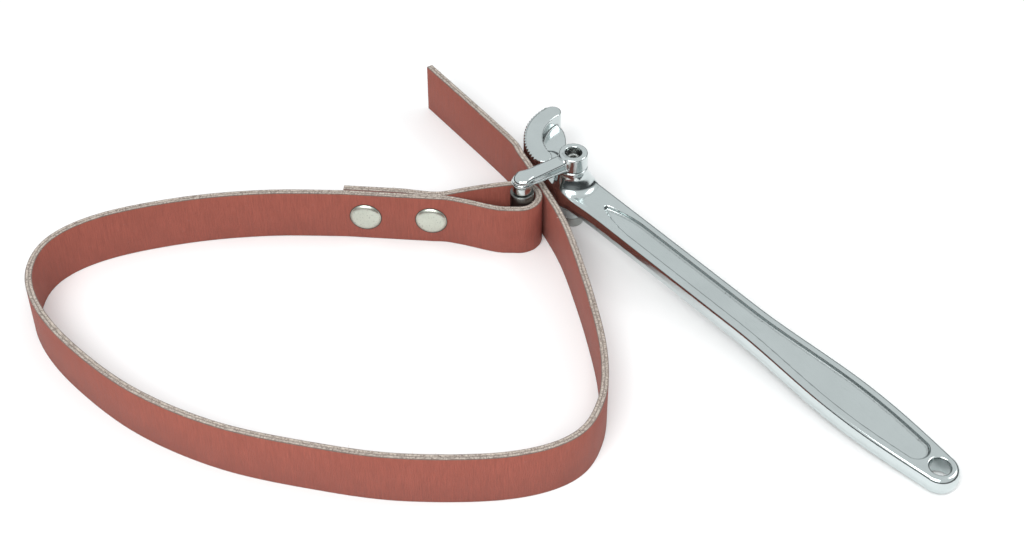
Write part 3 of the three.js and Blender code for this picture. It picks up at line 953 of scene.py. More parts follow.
def woven(name):
    """A plain weave on an unrolled belt, whose vector is along, depth and height."""
    inputs = {"Vector": (VECTOR, None), "Pitch": (FLOAT, 0.0006)}
    outputs = {"Height": FLOAT, "Tone": FLOAT}
    tree, start, end = new_tree("ShaderNodeTree", name, inputs, outputs)
    vector = start.outputs["Vector"]
    stray = noise(tree, vector, 90.0, 3.0)
    stray = math_node(tree, "MULTIPLY", stray, 0.004)
    parts = add(tree, "ShaderNodeSeparateXYZ", {0: vector})
    turns = math_node(tree, "DIVIDE", 2 * math.pi, start.outputs["Pitch"])
    along = math_node(tree, "ADD", parts.outputs[0], stray)
    up = math_node(tree, "ADD", parts.outputs[2], stray)
    warp = math_node(tree, "SINE", math_node(tree, "MULTIPLY", along, turns))
    weft = math_node(tree, "SINE", math_node(tree, "MULTIPLY", up, turns))
    crossed = math_node(tree, "MULTIPLY", warp, weft)
    ridges = math_node(tree, "MULTIPLY_ADD", warp, 0.6, crossed)
    yarns = add(tree, "ShaderNodeMapping", {"Vector": vector, "Scale": (9.0, 1.0, 0.6)})
    fibres = noise(tree, yarns.outputs[0], 260.0, 3.0, 0.65)
    height = math_node(tree, "MULTIPLY_ADD", ridges, 0.25, fibres)
    tree.links.new(height, end.inputs["Height"])
    tree.links.new(fibres, end.inputs["Tone"])
    return tree


# ---- Finishes ----

DUST = (0.5, 0.48, 0.45)


def group(tree, name, build, inputs):
    return add(tree, "ShaderNodeGroup", inputs, node_tree=shared_tree(name, build)).outputs


def new_finish(name, **constants):
    """A material with its Principled node's constants set, its tree and that node."""
    finish = bpy.data.materials.new(name)
    finish.use_nodes = True
    shader = finish.node_tree.nodes["Principled BSDF"]
    for key, value in constants.items():
        shader.inputs[key.replace("_", " ")].default_value = value
    return finish, finish.node_tree, shader


def shade(colour_value, factor):
    return tuple(c * factor for c in colour_value) + (1.0,)


def feed(tree, shader, **sockets):
    for key, value in sockets.items():
        tree.links.new(value, shader.inputs[key.replace("_", " ")])


def bumped(tree, shader, height, distance, strength):
    inputs = {"Height": height, "Distance": distance, "Strength": strength}
    feed(tree, shader, Normal=add(tree, "ShaderNodeBump", inputs).outputs[0])


def object_place(tree):
    return add(tree, "ShaderNodeTexCoord").outputs["Object"]


def stored(tree, name, output="Fac"):
    return add(tree, "ShaderNodeAttribute", attribute_name=name).outputs[output]


def chrome_finish(name, tint):
    """Bright plating over a forged skin: hollows get painted shade and hold dirt in their pits, and
    rubbed edges shine.
    """
    finish, tree, shader = new_finish(name, Metallic=1.0)
    place = object_place(tree)
    forged = group(tree, "forged skin", forged_skin, {"Vector": place, "Wave": 70.0})
    marks = group(tree, "handling", handling, {"Vector": place})
    bend = stored(tree, "bend")
    hollow = ranged(tree, bend, -0.15, -0.7, 0.0, 1.0)
    # Painted shade in the hollows, plus the real dirt of their pits and scuffs; the last step
    # darkens every hollow by itself.
    hollow_shade_and_grime = math_node(tree, "MULTIPLY", hollow, forged["Pitting"])
    hollow_shade_and_grime = math_node(tree, "MAXIMUM", hollow_shade_and_grime, math_node(tree, "MULTIPLY", marks["Scuff"], 0.25))
    hollow_shade_and_grime = math_node(tree, "MULTIPLY_ADD", hollow, 0.35, hollow_shade_and_grime, clamp=True)
    base = mixed_colour(tree, marks["Smear"], shade(tint, 1.0), shade(tint, 0.93))
    # The hollows' painted shade and dirt are mixed in towards a dark tint.
    base = mixed_colour(tree, hollow_shade_and_grime, base, shade(tint, 0.45))
    rough = ranged(tree, marks["Smear"], 0.0, 1.0, 0.13, 0.2)
    rough = math_node(tree, "MULTIPLY_ADD", hollow_shade_and_grime, 0.22, rough)
    polish = ranged(tree, bend, 0.25, 0.9, 0.0, 0.06)
    rough = math_node(tree, "SUBTRACT", rough, polish)
    feed(tree, shader, Base_Color=base, Roughness=rough)
    bumped(tree, shader, forged["Height"], 0.05 * MM, 0.6)
    return finish


def turned_finish(name, tint, centre, painted_brightness):
    """Machined steel with lathe rings, oil smears and a little dust, made lighter or darker for
    each piece as painted light and shade.
    """
    finish, tree, shader = new_finish(name, Metallic=1.0)
    place = object_place(tree)
    to_axis = (-centre[0], -centre[1], 0)
    centred = add(tree, "ShaderNodeMapping", {"Vector": place, "Location": to_axis})
    grain = group(tree, "turned grain", turned_grain, {"Vector": centred})
    marks = group(tree, "handling", handling, {"Vector": place})
    # Painted light and shade: the steel's tones are scaled by each piece's own brightness.
    dark, pale = shade(tint, 0.75 * painted_brightness), shade(tint, 1.15 * painted_brightness)
    base = mixed_colour(tree, grain["Tone"], dark, pale)
    base = mixed_colour(tree, marks["Dust"], base, shade(DUST, 1.0))
    rough = math_node(tree, "MULTIPLY_ADD", marks["Smear"], 0.14, 0.3)
    feed(tree, shader, Base_Color=base, Roughness=rough)
    bumped(tree, shader, grain["Height"], 0.02 * MM, 0.5)
    return finish


def nickel_finish(name, tint):
    """Soft nickel plating, a little tarnished, with small dents, and a painted shadow along each
    piece's outer edge.
    """
    finish, tree, shader = new_finish(name, Metallic=1.0)
    place = object_place(tree)
    plated = {"Vector": place, "Wave": 260.0, "Pits": 1400.0}
    forged = group(tree, "forged skin", forged_skin, plated)
    marks = group(tree, "handling", handling, {"Vector": place})
    tarnish = math_node(tree, "MULTIPLY_ADD", marks["Scuff"], 0.5, marks["Smear"], clamp=True)
    base = mixed_colour(tree, tarnish, shade(tint, 1.0), shade(tint, 0.8))
    base = mixed_colour(tree, forged["Pitting"], base, shade(tint, 0.55))
    # Painted shadow: past 94 percent of a piece's largest reach it is drawn almost black. On a
    # rivet this is the head's lip where it meets the belt.
    lip = ranged(tree, stored(tree, "reach"), 0.94, 0.955, 0.0, 0.93)
    base = mixed_colour(tree, lip, base, shade(tint, 0.05))
    rough = ranged(tree, tarnish, 0.0, 1.0, 0.3, 0.42)
    feed(tree, shader, Base_Color=base, Roughness=rough)
    bumped(tree, shader, forged["Height"], 0.08 * MM, 0.7)
    return finish


def rubber_finish(name, tint, pitch):
    """Rubber rolled into canvas: the weave shows through, and handling leaves paler scuffs."""
    finish, tree, shader = new_finish(name, Sheen_Weight=0.04, Sheen_Roughness=0.5)
    shader.inputs["Specular IOR Level"].default_value = 0.22
    place = stored(tree, "weave", "Vector")
    weave = group(tree, "woven", woven, {"Vector": place, "Pitch": pitch})
    marks = group(tree, "handling", handling, {"Vector": place})
    tone = ranged(tree, weave["Tone"], 0.3, 0.7, 0.0, 1.0)
    base = mixed_colour(tree, tone, shade(tint, 0.82), shade(tint, 1.14))
    smear = math_node(tree, "MULTIPLY", marks["Smear"], 0.35)
    base = mixed_colour(tree, smear, base, shade(tint, 0.8))
    scuff = math_node(tree, "MULTIPLY", marks["Scuff"], 0.3)
    pale = tuple(0.7 * c + 0.1 for c in tint) + (1.0,)
    base = mixed_colour(tree, scuff, base, pale)
    rough = ranged(tree, weave["Tone"], 0.3, 0.7, 0.62, 0.78)
    feed(tree, shader, Base_Color=base, Roughness=rough)
    bumped(tree, shader, weave["Height"], 0.2 * MM, 0.9)
    return finish


def cut_edge_finish(name, yarn, glue, pitch, thickness):
    """A cut through both plies: pale yarn ends between dark lines of glue and skin."""
    finish, tree, shader = new_finish(name, Sheen_Weight=0.2, Sheen_Roughness=0.6)
    shader.inputs["Specular IOR Level"].default_value = 0.2
    place = stored(tree, "weave", "Vector")
    weave = group(tree, "woven", woven, {"Vector": place, "Pitch": pitch})
    marks = group(tree, "handling", handling, {"Vector": place})
    depth = add(tree, "ShaderNodeSeparateXYZ", {0: place}).outputs[1]
    waver = math_node(tree, "MULTIPLY", noise(tree, place, 240.0, 3.0), 0.6 * MM)
    depth = math_node(tree, "ADD", depth, math_node(tree, "SUBTRACT", waver, 0.3 * MM))
    from_middle = math_node(tree, "ABSOLUTE", depth)
    middle_line = ranged(tree, from_middle, 0.08 * MM, 0.3 * MM, 0.7, 0.0)
    half = thickness / 2
    border = ranged(tree, from_middle, half - 0.5 * MM, half - 0.2 * MM, 0.0, 0.9)
    specks = ranged(tree, noise(tree, place, 1100.0, 3.0, 0.8), 0.46, 0.6, 0.0, 0.8)
    dark = math_node(tree, "MAXIMUM", middle_line, border)
    dark = math_node(tree, "MAXIMUM", dark, specks)
    tone = ranged(tree, weave["Tone"], 0.3, 0.7, 0.0, 1.0)
    base = mixed_colour(tree, tone, shade(yarn, 0.65), shade(yarn, 1.35))
    base = mixed_colour(tree, dark, base, shade(glue, 1.0))
    base = mixed_colour(tree, marks["Dust"], base, shade(yarn, 1.5))
    rough = ranged(tree, dark, 0.0, 1.0, 0.95, 0.8)
    feed(tree, shader, Base_Color=base, Roughness=rough)
    height = math_node(tree, "MULTIPLY_ADD", dark, -0.6, weave["Height"])
    bumped(tree, shader, height, 0.2 * MM, 0.8)
    return finish


def yarn_finish(name, yarn):
    """Loose cotton ends."""
    finish, tree, shader = new_finish(name, Sheen_Weight=0.3)
    place = object_place(tree)
    marks = group(tree, "handling", handling, {"Vector": place})
    base = mixed_colour(tree, marks["Smear"], shade(yarn, 1.5), shade(yarn, 1.1))
    feed(tree, shader, Base_Color=base, Roughness=ranged(tree, marks["Dust"], 0.0, 1.0, 0.9, 0.8))
    return finish


def floor_finish(name, tint):
    """A matt paper sweep, very slightly mottled."""
    finish, tree, shader = new_finish(name, Roughness=0.7)
    shader.inputs["Specular IOR Level"].default_value = 0.2
    place = object_place(tree)
    mottle = noise(tree, place, 6.0, 4.0)
    base = mixed_colour(tree, mottle, shade(tint, 0.985), shade(tint, 1.015))
    feed(tree, shader, Base_Color=base)
    return finish


def finish_for(name, build, *values):
    """A finish that is built the first time it is asked for."""
    return bpy.data.materials.get(name) or build(name, *values)


def chrome():
    return finish_for("chrome plate", chrome_finish, tuple(settings().finish.chrome))


def nickel():
    return finish_for("nickel plate", nickel_finish, tuple(settings().finish.nickel))


# ---- Handle ----

HEAD_REACH = 32 * MM  # the head and jaw change the handle only this near the pivot
POINT_HALF_WIDTH = 1.0 * MM  # half the width of the recess's point at its very start
POINT_SPREAD = 0.36  # how fast the recess's point widens
POINT_SLANT = 0.94  # turns a sideways distance into one square to the point's sides
POINT_ROUND = 3 * MM  # radius where the point meets the recess's sides
POINT_TIP_ROUND = 0.8 * MM
RECESS_END_RADIUS = 5.9 * MM  # radius of the recess's round far end
RECESS_WALL_SLOPE = 0.3
RECESS_FLOOR_ROUND = 0.7 * MM
RECESS_LIP_ROUND = 0.6 * MM
RIM_ROUND = 0.55 * MM
WEB_ROUND = 0.8 * MM
WEB_FILLET = 0.9 * MM
JAW_FILLET = 1.2 * MM
HUB_ROUND = 0.7 * MM
BORE_ROUND = 0.3 * MM
HANG_HOLE_ROUND = 0.8 * MM
TEETH_SHORTER = 0.3 * MM  # how much lower a tooth is than the rim
RIM_RISE = (6 * MM, 11 * MM)  # how far from the pivot the jaw's rim gains its full height
FLARE_RISE = (2 * MM, 11.5 * MM)  # how far from its middle the hub loses its flare
FLARE_SIDE = (-8 * MM, 3 * MM)  # from the jaw's side to the shank's side, the flare grows


def handle_plan(x, y, sizes, hole_x):
    """Distance in plan to the shank's outline, grip and round tip."""
    swell = smooth_step(x, sizes.swell_start, sizes.widest_at)
    width = sizes.shank_half_width + (sizes.grip_half_width - sizes.shank_half_width) * swell
    along = np.clip((x - sizes.widest_at) / (hole_x - sizes.widest_at), 0, 1)
    narrowing = (sizes.grip_half_width - sizes.tip_radius) * (1 - np.cos(along * math.pi / 2))
    half_width = width - narrowing
    shank = np.maximum(np.abs(y) - half_width, -x)
    tip = np.hypot(np.maximum(x - hole_x, 0), y) - sizes.tip_radius
    return np.where(x < hole_x, shank, tip), half_width


def recess_plan(x, y, half_width, sizes, hole_x):
    """Distance in plan to the long recess: a blunt point near the hub and a round far end."""
    sides = np.abs(y) - (half_width - sizes.recess_rim)
    from_start = x - sizes.recess_start
    point = (np.abs(y) - POINT_HALF_WIDTH - POINT_SPREAD * from_start) * POINT_SLANT
    near = blunt(blunt(sides, point, POINT_ROUND), -from_start, POINT_TIP_ROUND)
    round_from = hole_x - sizes.recess_to_hole - RECESS_END_RADIUS
    far = np.hypot(np.maximum(x - round_from, 0), y) - RECESS_END_RADIUS
    return np.where(x > round_from, np.maximum(sides, far), near)


def head_outline(sizes, jaw):
    """The plate that carries the hub and reaches out to the jaw's rim."""
    cx, cy = jaw_centre(jaw)
    half = sizes.shank_half_width
    heel = math.radians(jaw.heel_angle)
    root = jaw.radius - jaw.tooth_depth - 0.2 * MM
    points = [
        (30 * MM, -half),
        (18 * MM, -half - 0.1 * MM),
        (8 * MM, -9.9 * MM),
        (-3 * MM, -9.7 * MM),
        (cx + root * math.cos(heel), cy + root * math.sin(heel)),
        (cx - 10.5 * MM, cy - 25 * MM),
        (cx - 9.5 * MM, cy - 15 * MM),
        (cx - 3.5 * MM, cy - 13.4 * MM),
        (cx + 4.5 * MM, cy - 15.4 * MM),
        (0, 9.4 * MM),
        (10 * MM, half - 0.6 * MM),
        (20 * MM, half),
        (30 * MM, half),
    ]
    return softened(points)


def web_outline(jaw):
    """The thin floor behind the jaw's rim."""
    cx, cy = jaw_centre(jaw)
    free_edge = ((2.5, -19), (-3, -11.6), (-9.2, -3.8), (-17.9, 1.4))
    back = [(cx + x * MM, cy + y * MM) for x, y in free_edge]
    middle = jaw.radius - jaw.rim_width / 2
    rim = []
    for degrees in (182, 196, 214, 232, 250):
        angle = math.radians(degrees)
        rim.append((cx + middle * math.cos(angle), cy + middle * math.sin(angle)))
    return softened(back + rim)


def rim_plan(x, y, jaw):
    """Distance in plan to the curved rim, with round ends."""
    cx, cy = jaw_centre(jaw)
    middle_angle = math.radians((jaw.tip_angle + jaw.heel_angle) / 2)
    half_sweep = math.radians((jaw.heel_angle - jaw.tip_angle) / 2)
    outer, inner = jaw.radius - jaw.tooth_depth, jaw.radius - jaw.rim_width
    middle, half = (outer + inner) / 2, (outer - inner) / 2
    u = (x - cx) * math.cos(middle_angle) + (y - cy) * math.sin(middle_angle)
    v = np.abs((y - cy) * math.cos(middle_angle) - (x - cx) * math.sin(middle_angle))
    band = np.abs(np.hypot(u, v) - middle) - half
    end = np.hypot(u - middle * math.cos(half_sweep), v - middle * math.sin(half_sweep)) - half
    return np.where(v * math.cos(half_sweep) < u * math.sin(half_sweep), band, end)


def handle_field(sizes, jaw):
    """The whole forging, with its shank falling away from the hub and its head level."""
    foot, top = hub_span(sizes)
    level = (foot + top) / 2
    hole_x = hang_hole_x(sizes)
    half_thick = sizes.thickness / 2
    slope = (level - half_thick) / (hole_x + sizes.tip_radius)
    draft = math.tan(sizes.draft)
    head = head_outline(sizes, jaw)
    web = web_outline(jaw)
    edge = sizes.edge_round

    def field(x, y, z):
        drop = np.abs(z - level + slope * np.maximum(x, 0))
        plan, half_width = handle_plan(x, y, sizes, hole_x)
        near_head = np.min(x) < HEAD_REACH
        if near_head:
            plan = np.minimum(plan, outline_field(x, y, head))
        body = blunt(plan + draft * (drop - 0.2 * half_thick), drop - half_thick, edge)
        wall = recess_plan(x, y, half_width, sizes, hole_x)
        floor = half_thick - sizes.recess_depth - drop
        wall = wall - RECESS_WALL_SLOPE * (drop - half_thick)
        recess = blunt(wall, floor, RECESS_FLOOR_ROUND)
        body = blunt(body, -recess, RECESS_LIP_ROUND)
        if near_head:
            rise = np.abs(z - level)
            from_pivot = np.hypot(x, y)
            fade = smooth_step(from_pivot, *RIM_RISE)
            rim_half = half_thick + (jaw.height / 2 - half_thick) * fade
            rim = blunt(rim_plan(x, y, jaw), rise - rim_half, RIM_ROUND)
            web_plan = outline_field(x, y, web)
            web_plate = blunt(web_plan, rise - jaw.web_thickness / 2, WEB_ROUND)
            body = merged(body, merged(rim, web_plate, WEB_FILLET), JAW_FILLET)
            flare = sizes.hub_flare * (1 - smooth_step(rise, *FLARE_RISE))
            flare = flare * smooth_step(x, *FLARE_SIDE)
            hub_plan = from_pivot - sizes.hub_radius - flare
            hub = blunt(hub_plan, rise - (top - foot) / 2, HUB_ROUND)
            body = merged(body, hub, sizes.hub_fillet)
            body = blunt(body, sizes.bore_radius - from_pivot, BORE_ROUND)
        hole = sizes.hang_hole_radius - np.hypot(x - hole_x, y)
        return blunt(body, hole, HANG_HOLE_ROUND)

    return field


class WRENCH_OT_handle(Operator):
    """Build the forged handle with its hub, jaw, recesses and hang hole"""

    bl_idname = "wrench.handle"
    bl_label = "Handle"

    def execute(self, context):
        sizes, jaw = settings().handle, settings().jaw
        low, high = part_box("handle")
        mesh = skin("handle", handle_field(sizes, jaw), low, high, sizes.cell)
        handle = placed("handle_forging", mesh, chrome())
        claim(handle, "handle", "chrome", "handle")
        return {"FINISHED"}


def tooth(jaw, height):
    """One upright tooth: its root lies at the origin and its crest points along X."""
    half_pitch, deep, embed = jaw.tooth_pitch / 2, jaw.tooth_depth, 0.5 * MM
    half = height / 2
    outline = [
        (-embed, half_pitch * 0.9),
        (-embed, -half_pitch * 0.9),
        (0, -half_pitch * 0.9),
        (deep * 0.85, -half_pitch * 0.22),
        (deep, 0),
        (deep * 0.85, half_pitch * 0.22),
        (0, half_pitch * 0.9),
    ]
    slope = 0.25 * MM
    levels = [(-half, 0.5), (-half + slope, 1), (half - slope, 1), (half, 0.5)]
    rings = [[(x * share if x > 0 else x, y, z) for x, y in outline] for z, share in levels]
    return capped_rings("tooth", rings)


class WRENCH_OT_teeth(Operator):
    """Build the row of teeth round the jaw"""

    bl_idname = "wrench.teeth"
    bl_label = "Jaw teeth"

    def execute(self, context):
        jaw = settings().jaw
        foot, top = hub_span(settings().handle)
        cx, cy = jaw_centre(jaw)
        sweep = math.radians(jaw.heel_angle - jaw.tip_angle)
        count = round(sweep * jaw.radius / jaw.tooth_pitch)
        copied = placed("tooth", tooth(jaw, jaw.height - TEETH_SHORTER))
        teeth = placed("jaw_teeth", bpy.data.meshes.new("jaw_teeth"))
        values = {
            "Copied": copied,
            "Count": count,
            "Radius": jaw.radius - jaw.tooth_depth,
            "Start": math.radians(jaw.tip_angle) + sweep / count / 2,
            "Sweep": sweep * (count - 1) / count,
            "Centre": (cx, cy, (foot + top) / 2),
            "Material": chrome(),
        }
        grown(teeth, shared_tree("row on arc", row_on_arc), values)
        bpy.data.objects.remove(copied)
        claim(teeth, "handle", "chrome")
        return {"FINISHED"}


# ---- Link ----

ARM_FLARE = 0.5  # how much of the way to the nose's width the arm widens
NOSE_FILLET = 1.5 * MM
LEDGE_ROUND = 0.35 * MM
LEDGE_FILLET = 0.4 * MM
EYE_ROUND = 0.8 * MM
EYE_FILLET = 0.9 * MM
EYE_BORE_ROUND = 0.5 * MM
PIN_ROUND = 0.4 * MM
COLLAR_ROUND = 0.6 * MM
COLLAR_FILLET = 0.3 * MM
PIN_EMBED = 1 * MM  # how far the pin goes up into the arm
CLIP_PLAY = 0.15 * MM  # gap between the clip and its groove's sides
THREAD_LEAD_IN = 0.7 * MM  # bare height below the eye's thread
THREAD_BARE = 1.6 * MM  # bare height below and above the eye's thread
THREAD_RIDGE = 0.42 * MM


def link_field(sizes, arm_length, foot, collar_foot, pin_foot, groove):
    """The link with its arm along X and its pivot at the origin."""
    top = foot + sizes.eye_height
    arm_foot = foot + sizes.foot_rise

    def field(x, y, z):
        from_pivot, from_pin = np.hypot(x, y), np.hypot(x - arm_length, y)
        share = np.clip(x / arm_length, 0, 1)
        widening = ARM_FLARE * (sizes.nose_radius - sizes.arm_half_width)
        half_width = sizes.arm_half_width + widening * share
        bar = np.maximum(np.abs(y) - half_width, np.maximum(-x, x - arm_length))
        plan = merged(bar, from_pin - sizes.nose_radius, NOSE_FILLET)
        fall = (sizes.arm_height - sizes.nose_height) / arm_length
        upper = blunt(plan, z - (foot + sizes.arm_height - fall * x), sizes.crown)
        ledge_top = z - arm_foot - sizes.ledge_height
        ledge = blunt(plan - sizes.ledge_out, ledge_top, LEDGE_ROUND)
        eye = blunt(from_pivot - sizes.eye_radius, z - top, EYE_ROUND)
        eye = blunt(eye, foot - z, LEDGE_ROUND)
        arm = blunt(merged(upper, ledge, LEDGE_FILLET), arm_foot - z, LEDGE_ROUND)
        above = merged(arm, eye, EYE_FILLET)
        pin = blunt(from_pin - sizes.pin_radius, pin_foot - z, PIN_ROUND)
        collar = blunt(from_pin - sizes.collar_radius, collar_foot - z, COLLAR_ROUND)
        pin = np.maximum(merged(pin, collar, COLLAR_FILLET), z - arm_foot - PIN_EMBED)
        core = from_pin - (sizes.pin_radius - sizes.groove_depth)
        slit = np.maximum(groove[0] - z, z - groove[1])
        pin = np.maximum(pin, -np.maximum(core, slit))
        link = merged(above, pin, EYE_FILLET)
        return blunt(link, sizes.bore_radius - from_pivot, EYE_BORE_ROUND)

    return field


class WRENCH_OT_link(Operator):
    """Build the forged link with its tapped eye, arm and pin"""

    bl_idname = "wrench.link"
    bl_label = "Link"

    def execute(self, context):
        sizes = settings().link
        pin = box_facts("roller")[0]
        arm_length = math.hypot(pin.x, pin.y)
        low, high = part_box("link")
        clip_low, clip_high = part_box("roller_clip")
        foot = high.z - sizes.eye_height
        groove = (clip_low.z - CLIP_PLAY, clip_high.z + CLIP_PLAY)
        collar_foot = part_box("roller")[1].z + PLAY
        field = link_field(sizes, arm_length, foot, collar_foot, low.z, groove)
        reach = sizes.nose_radius + sizes.ledge_out
        lowest = (-sizes.eye_radius, -sizes.eye_radius, low.z)
        highest = (arm_length + reach, sizes.eye_radius, high.z)
        mesh = skin("link", field, lowest, highest, sizes.cell)
        mesh.transform(Matrix.Rotation(math.atan2(pin.y, pin.x), 4, "Z"))
        claim(placed("link_forging", mesh, chrome()), "link", "chrome", "link")
        height = sizes.eye_height - THREAD_BARE
        # Painted shade: the thread inside the eye is drawn in a steel only a fifth as bright.
        dark = steel("dark steel", (0, 0), 0.2)
        thread = screwed(
            "link_thread", sizes.bore_radius, foot + THREAD_LEAD_IN, height, THREAD_RIDGE, dark
        )
        claim(thread, "link", "chrome")
        return {"FINISHED"}


# ---- Turned pieces ----


# One steel tint, made lighter or darker for each piece as painted light and shade.
def steel(name, centre, painted_brightness):
    tint = tuple(settings().finish.steel)
    return finish_for(name, turned_finish, tint, tuple(centre), painted_brightness)


def screwed(name, radius, foot, height, ridge, finish):
    """The turns of a thread about the pivot's axis."""
    values = {
        "Radius": radius,
        "Pitch": settings().link.thread_pitch,
        "Height": height,
        "Ridge": ridge,
        "Foot": (0, 0, foot),
        "Material": finish,
    }
    turns = placed(name, bpy.data.meshes.new(name))
    return grown(turns, shared_tree("screw turns", screw_turns), values)


class WRENCH_OT_pivot(Operator):
    """Build the pivot screw, with its thread, and its washer"""

    bl_idname = "wrench.pivot"
    bl_label = "Pivot screw and washer"

    def execute(self, context):
        _, head_radius, foot, top = box_facts("pivot_screw")
        hub_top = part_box("handle")[1].z
        head_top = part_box("pivot_washer")[0].z - PLAY
        shoulder = hub_top + 0.1 * MM
        core, shank = 3.1 * MM, 4 * MM
        socket, socket_lip = 1.9 * MM, 0.35 * MM
        socket_floor, drill_point = top - 2.4 * MM, 0.5 * MM
        outside = [
            (0, foot),
            (head_radius, foot),
            (head_radius, head_top),
            (shank, head_top),
            (shank, shoulder),
            (core, shoulder),
            (core, top),
            (socket + socket_lip, top),
        ]
        profile = rounded(outside, 0.55 * MM)
        hexagon = range(len(profile), len(profile) + 3)
        profile += [(socket, top - 0.3 * MM), (socket, socket_floor), (socket * 0.98, socket_floor)]
        profile.append((0, socket_floor - drill_point))
        mesh = crisp(turned("pivot_screw", profile, hexagon=hexagon))
        # Painted light: the screw's steel is drawn almost twice as bright, though it sits under the
        # hub in shade.
        screw = placed("screw", mesh, steel("screw steel", (0, 0), 1.9))
        claim(screw, "link", "steel", "pivot_screw")
        bare, lead_in, ridge = 1.4 * MM, 0.8 * MM, 0.28 * MM
        # Painted shade: the screw's thread, inside the link's eye, is drawn darker.
        finish = steel("thread steel", (0, 0), 0.6)
        height = top - hub_top - bare
        thread = screwed("screw_thread", core, hub_top + lead_in, height, ridge, finish)
        claim(thread, "link", "steel")
        _, radius, low, high = box_facts("pivot_washer")
        mesh = turned("pivot_washer", washer_ring(shank + PLAY, radius, low, high, 0.25 * MM))
        # Painted light: the washer's steel is drawn brighter.
        washer = placed("washer", mesh, steel("washer steel", (0, 0), 1.6))
        claim(washer, "link", "steel", "pivot_washer")
        return {"FINISHED"}


class WRENCH_OT_roller(Operator):
    """Build the roller on the link's pin, with its washer and clip"""

    bl_idname = "wrench.roller"
    bl_label = "Roller, washer and clip"

    def execute(self, context):
        centre, radius, low, high = box_facts("roller")
        pin = settings().link.pin_radius
        bore, crown = pin + 0.1 * MM, 0.05 * MM
        crowned = [
            (bore, low),
            (radius - crown, low),
            (radius, (low + high) / 2),
            (radius - crown, high),
            (bore, high),
        ]
        mesh = turned("roller", rounded_ring(crowned, 0.6 * MM), centre)
        # Painted reflection: the roller, its washer and its clip are drawn a little darker, for the
        # belt round them that they mirror.
        finish = steel("roller steel", centre, 0.8)
        claim(placed("pin_roller", mesh, finish), "roller", "steel", "roller")
        centre, radius, low, high = box_facts("roller_washer")
        ring = washer_ring(pin + PLAY, radius, low, high, 0.2 * MM)
        washer = placed("pin_washer", turned("roller_washer", ring, centre), finish)
        claim(washer, "link", "steel", "roller_washer")
        claim(placed("pin_clip", self.clip(centre, pin), finish), "link", "steel", "roller_clip")
        return {"FINISHED"}

    def clip(self, centre, pin):
        """A flat spring ring with a mouth and rounded ends, turned as the frame's clip is."""
        low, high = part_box("roller_clip")
        clip_radius = 4.5 * MM
        inner = pin - settings().link.groove_depth + 0.1 * MM
        middle, half = (clip_radius + inner) / 2, (clip_radius - inner) / 2
        facing = math.atan2(centre.y, centre.x)
        section = washer_ring(-half, half, low.z, high.z, 0.15 * MM)
        rings = []
        steps = 60
        mouth = math.radians(36)
        for i in range(steps + 1):
            angle = facing + mouth + (2 * math.pi - 2 * mouth) * i / steps
            share = min(1, 0.35 + 0.25 * min(i, steps - i))
            ring = []
            for across, z in section:
                reach = middle + across * share
                x, y = centre.x + reach * math.cos(angle), centre.y + reach * math.sin(angle)
                ring.append((x, y, z))
            rings.append(ring)
        return crisp(smooth(capped_rings("roller_clip", rings)), 40)


# ---- Strap ----


def strap_line():
    """The belt's middle line, its width and its thickness."""
    left, right = strap_outline()
    thickness = float(np.linalg.norm(left - right, axis=1).mean())
    step = settings().strap.station * 1
    return eased((left + right) / 2, step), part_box("strap")[1].z, thickness


def belt_section(thickness, width, sizes):
    """A thin upright section with rounded corners and a groove between the plies at each edge."""
    half, tall = thickness / 2, width / 2
    corner, groove, deep = sizes.corner, sizes.seam_width / 2, sizes.seam_depth
    quarter = [(-half, 0)]
    for i in range(4):
        angle = math.pi - i * math.pi / 6
        x, y = corner * math.cos(angle), corner * math.sin(angle)
        quarter.append((-half + corner + x, tall - corner + y))
    crown, dip = 0.02 * MM, 0.03 * MM
    quarter += [(-half / 2, tall + crown), (-groove, tall - dip), (0, tall - deep)]
    right = [(-x, y) for x, y in reversed(quarter[:-1])]
    upper = quarter + right
    lower = [(-x, -y) for x, y in upper[1:-1]]
    return upper + lower


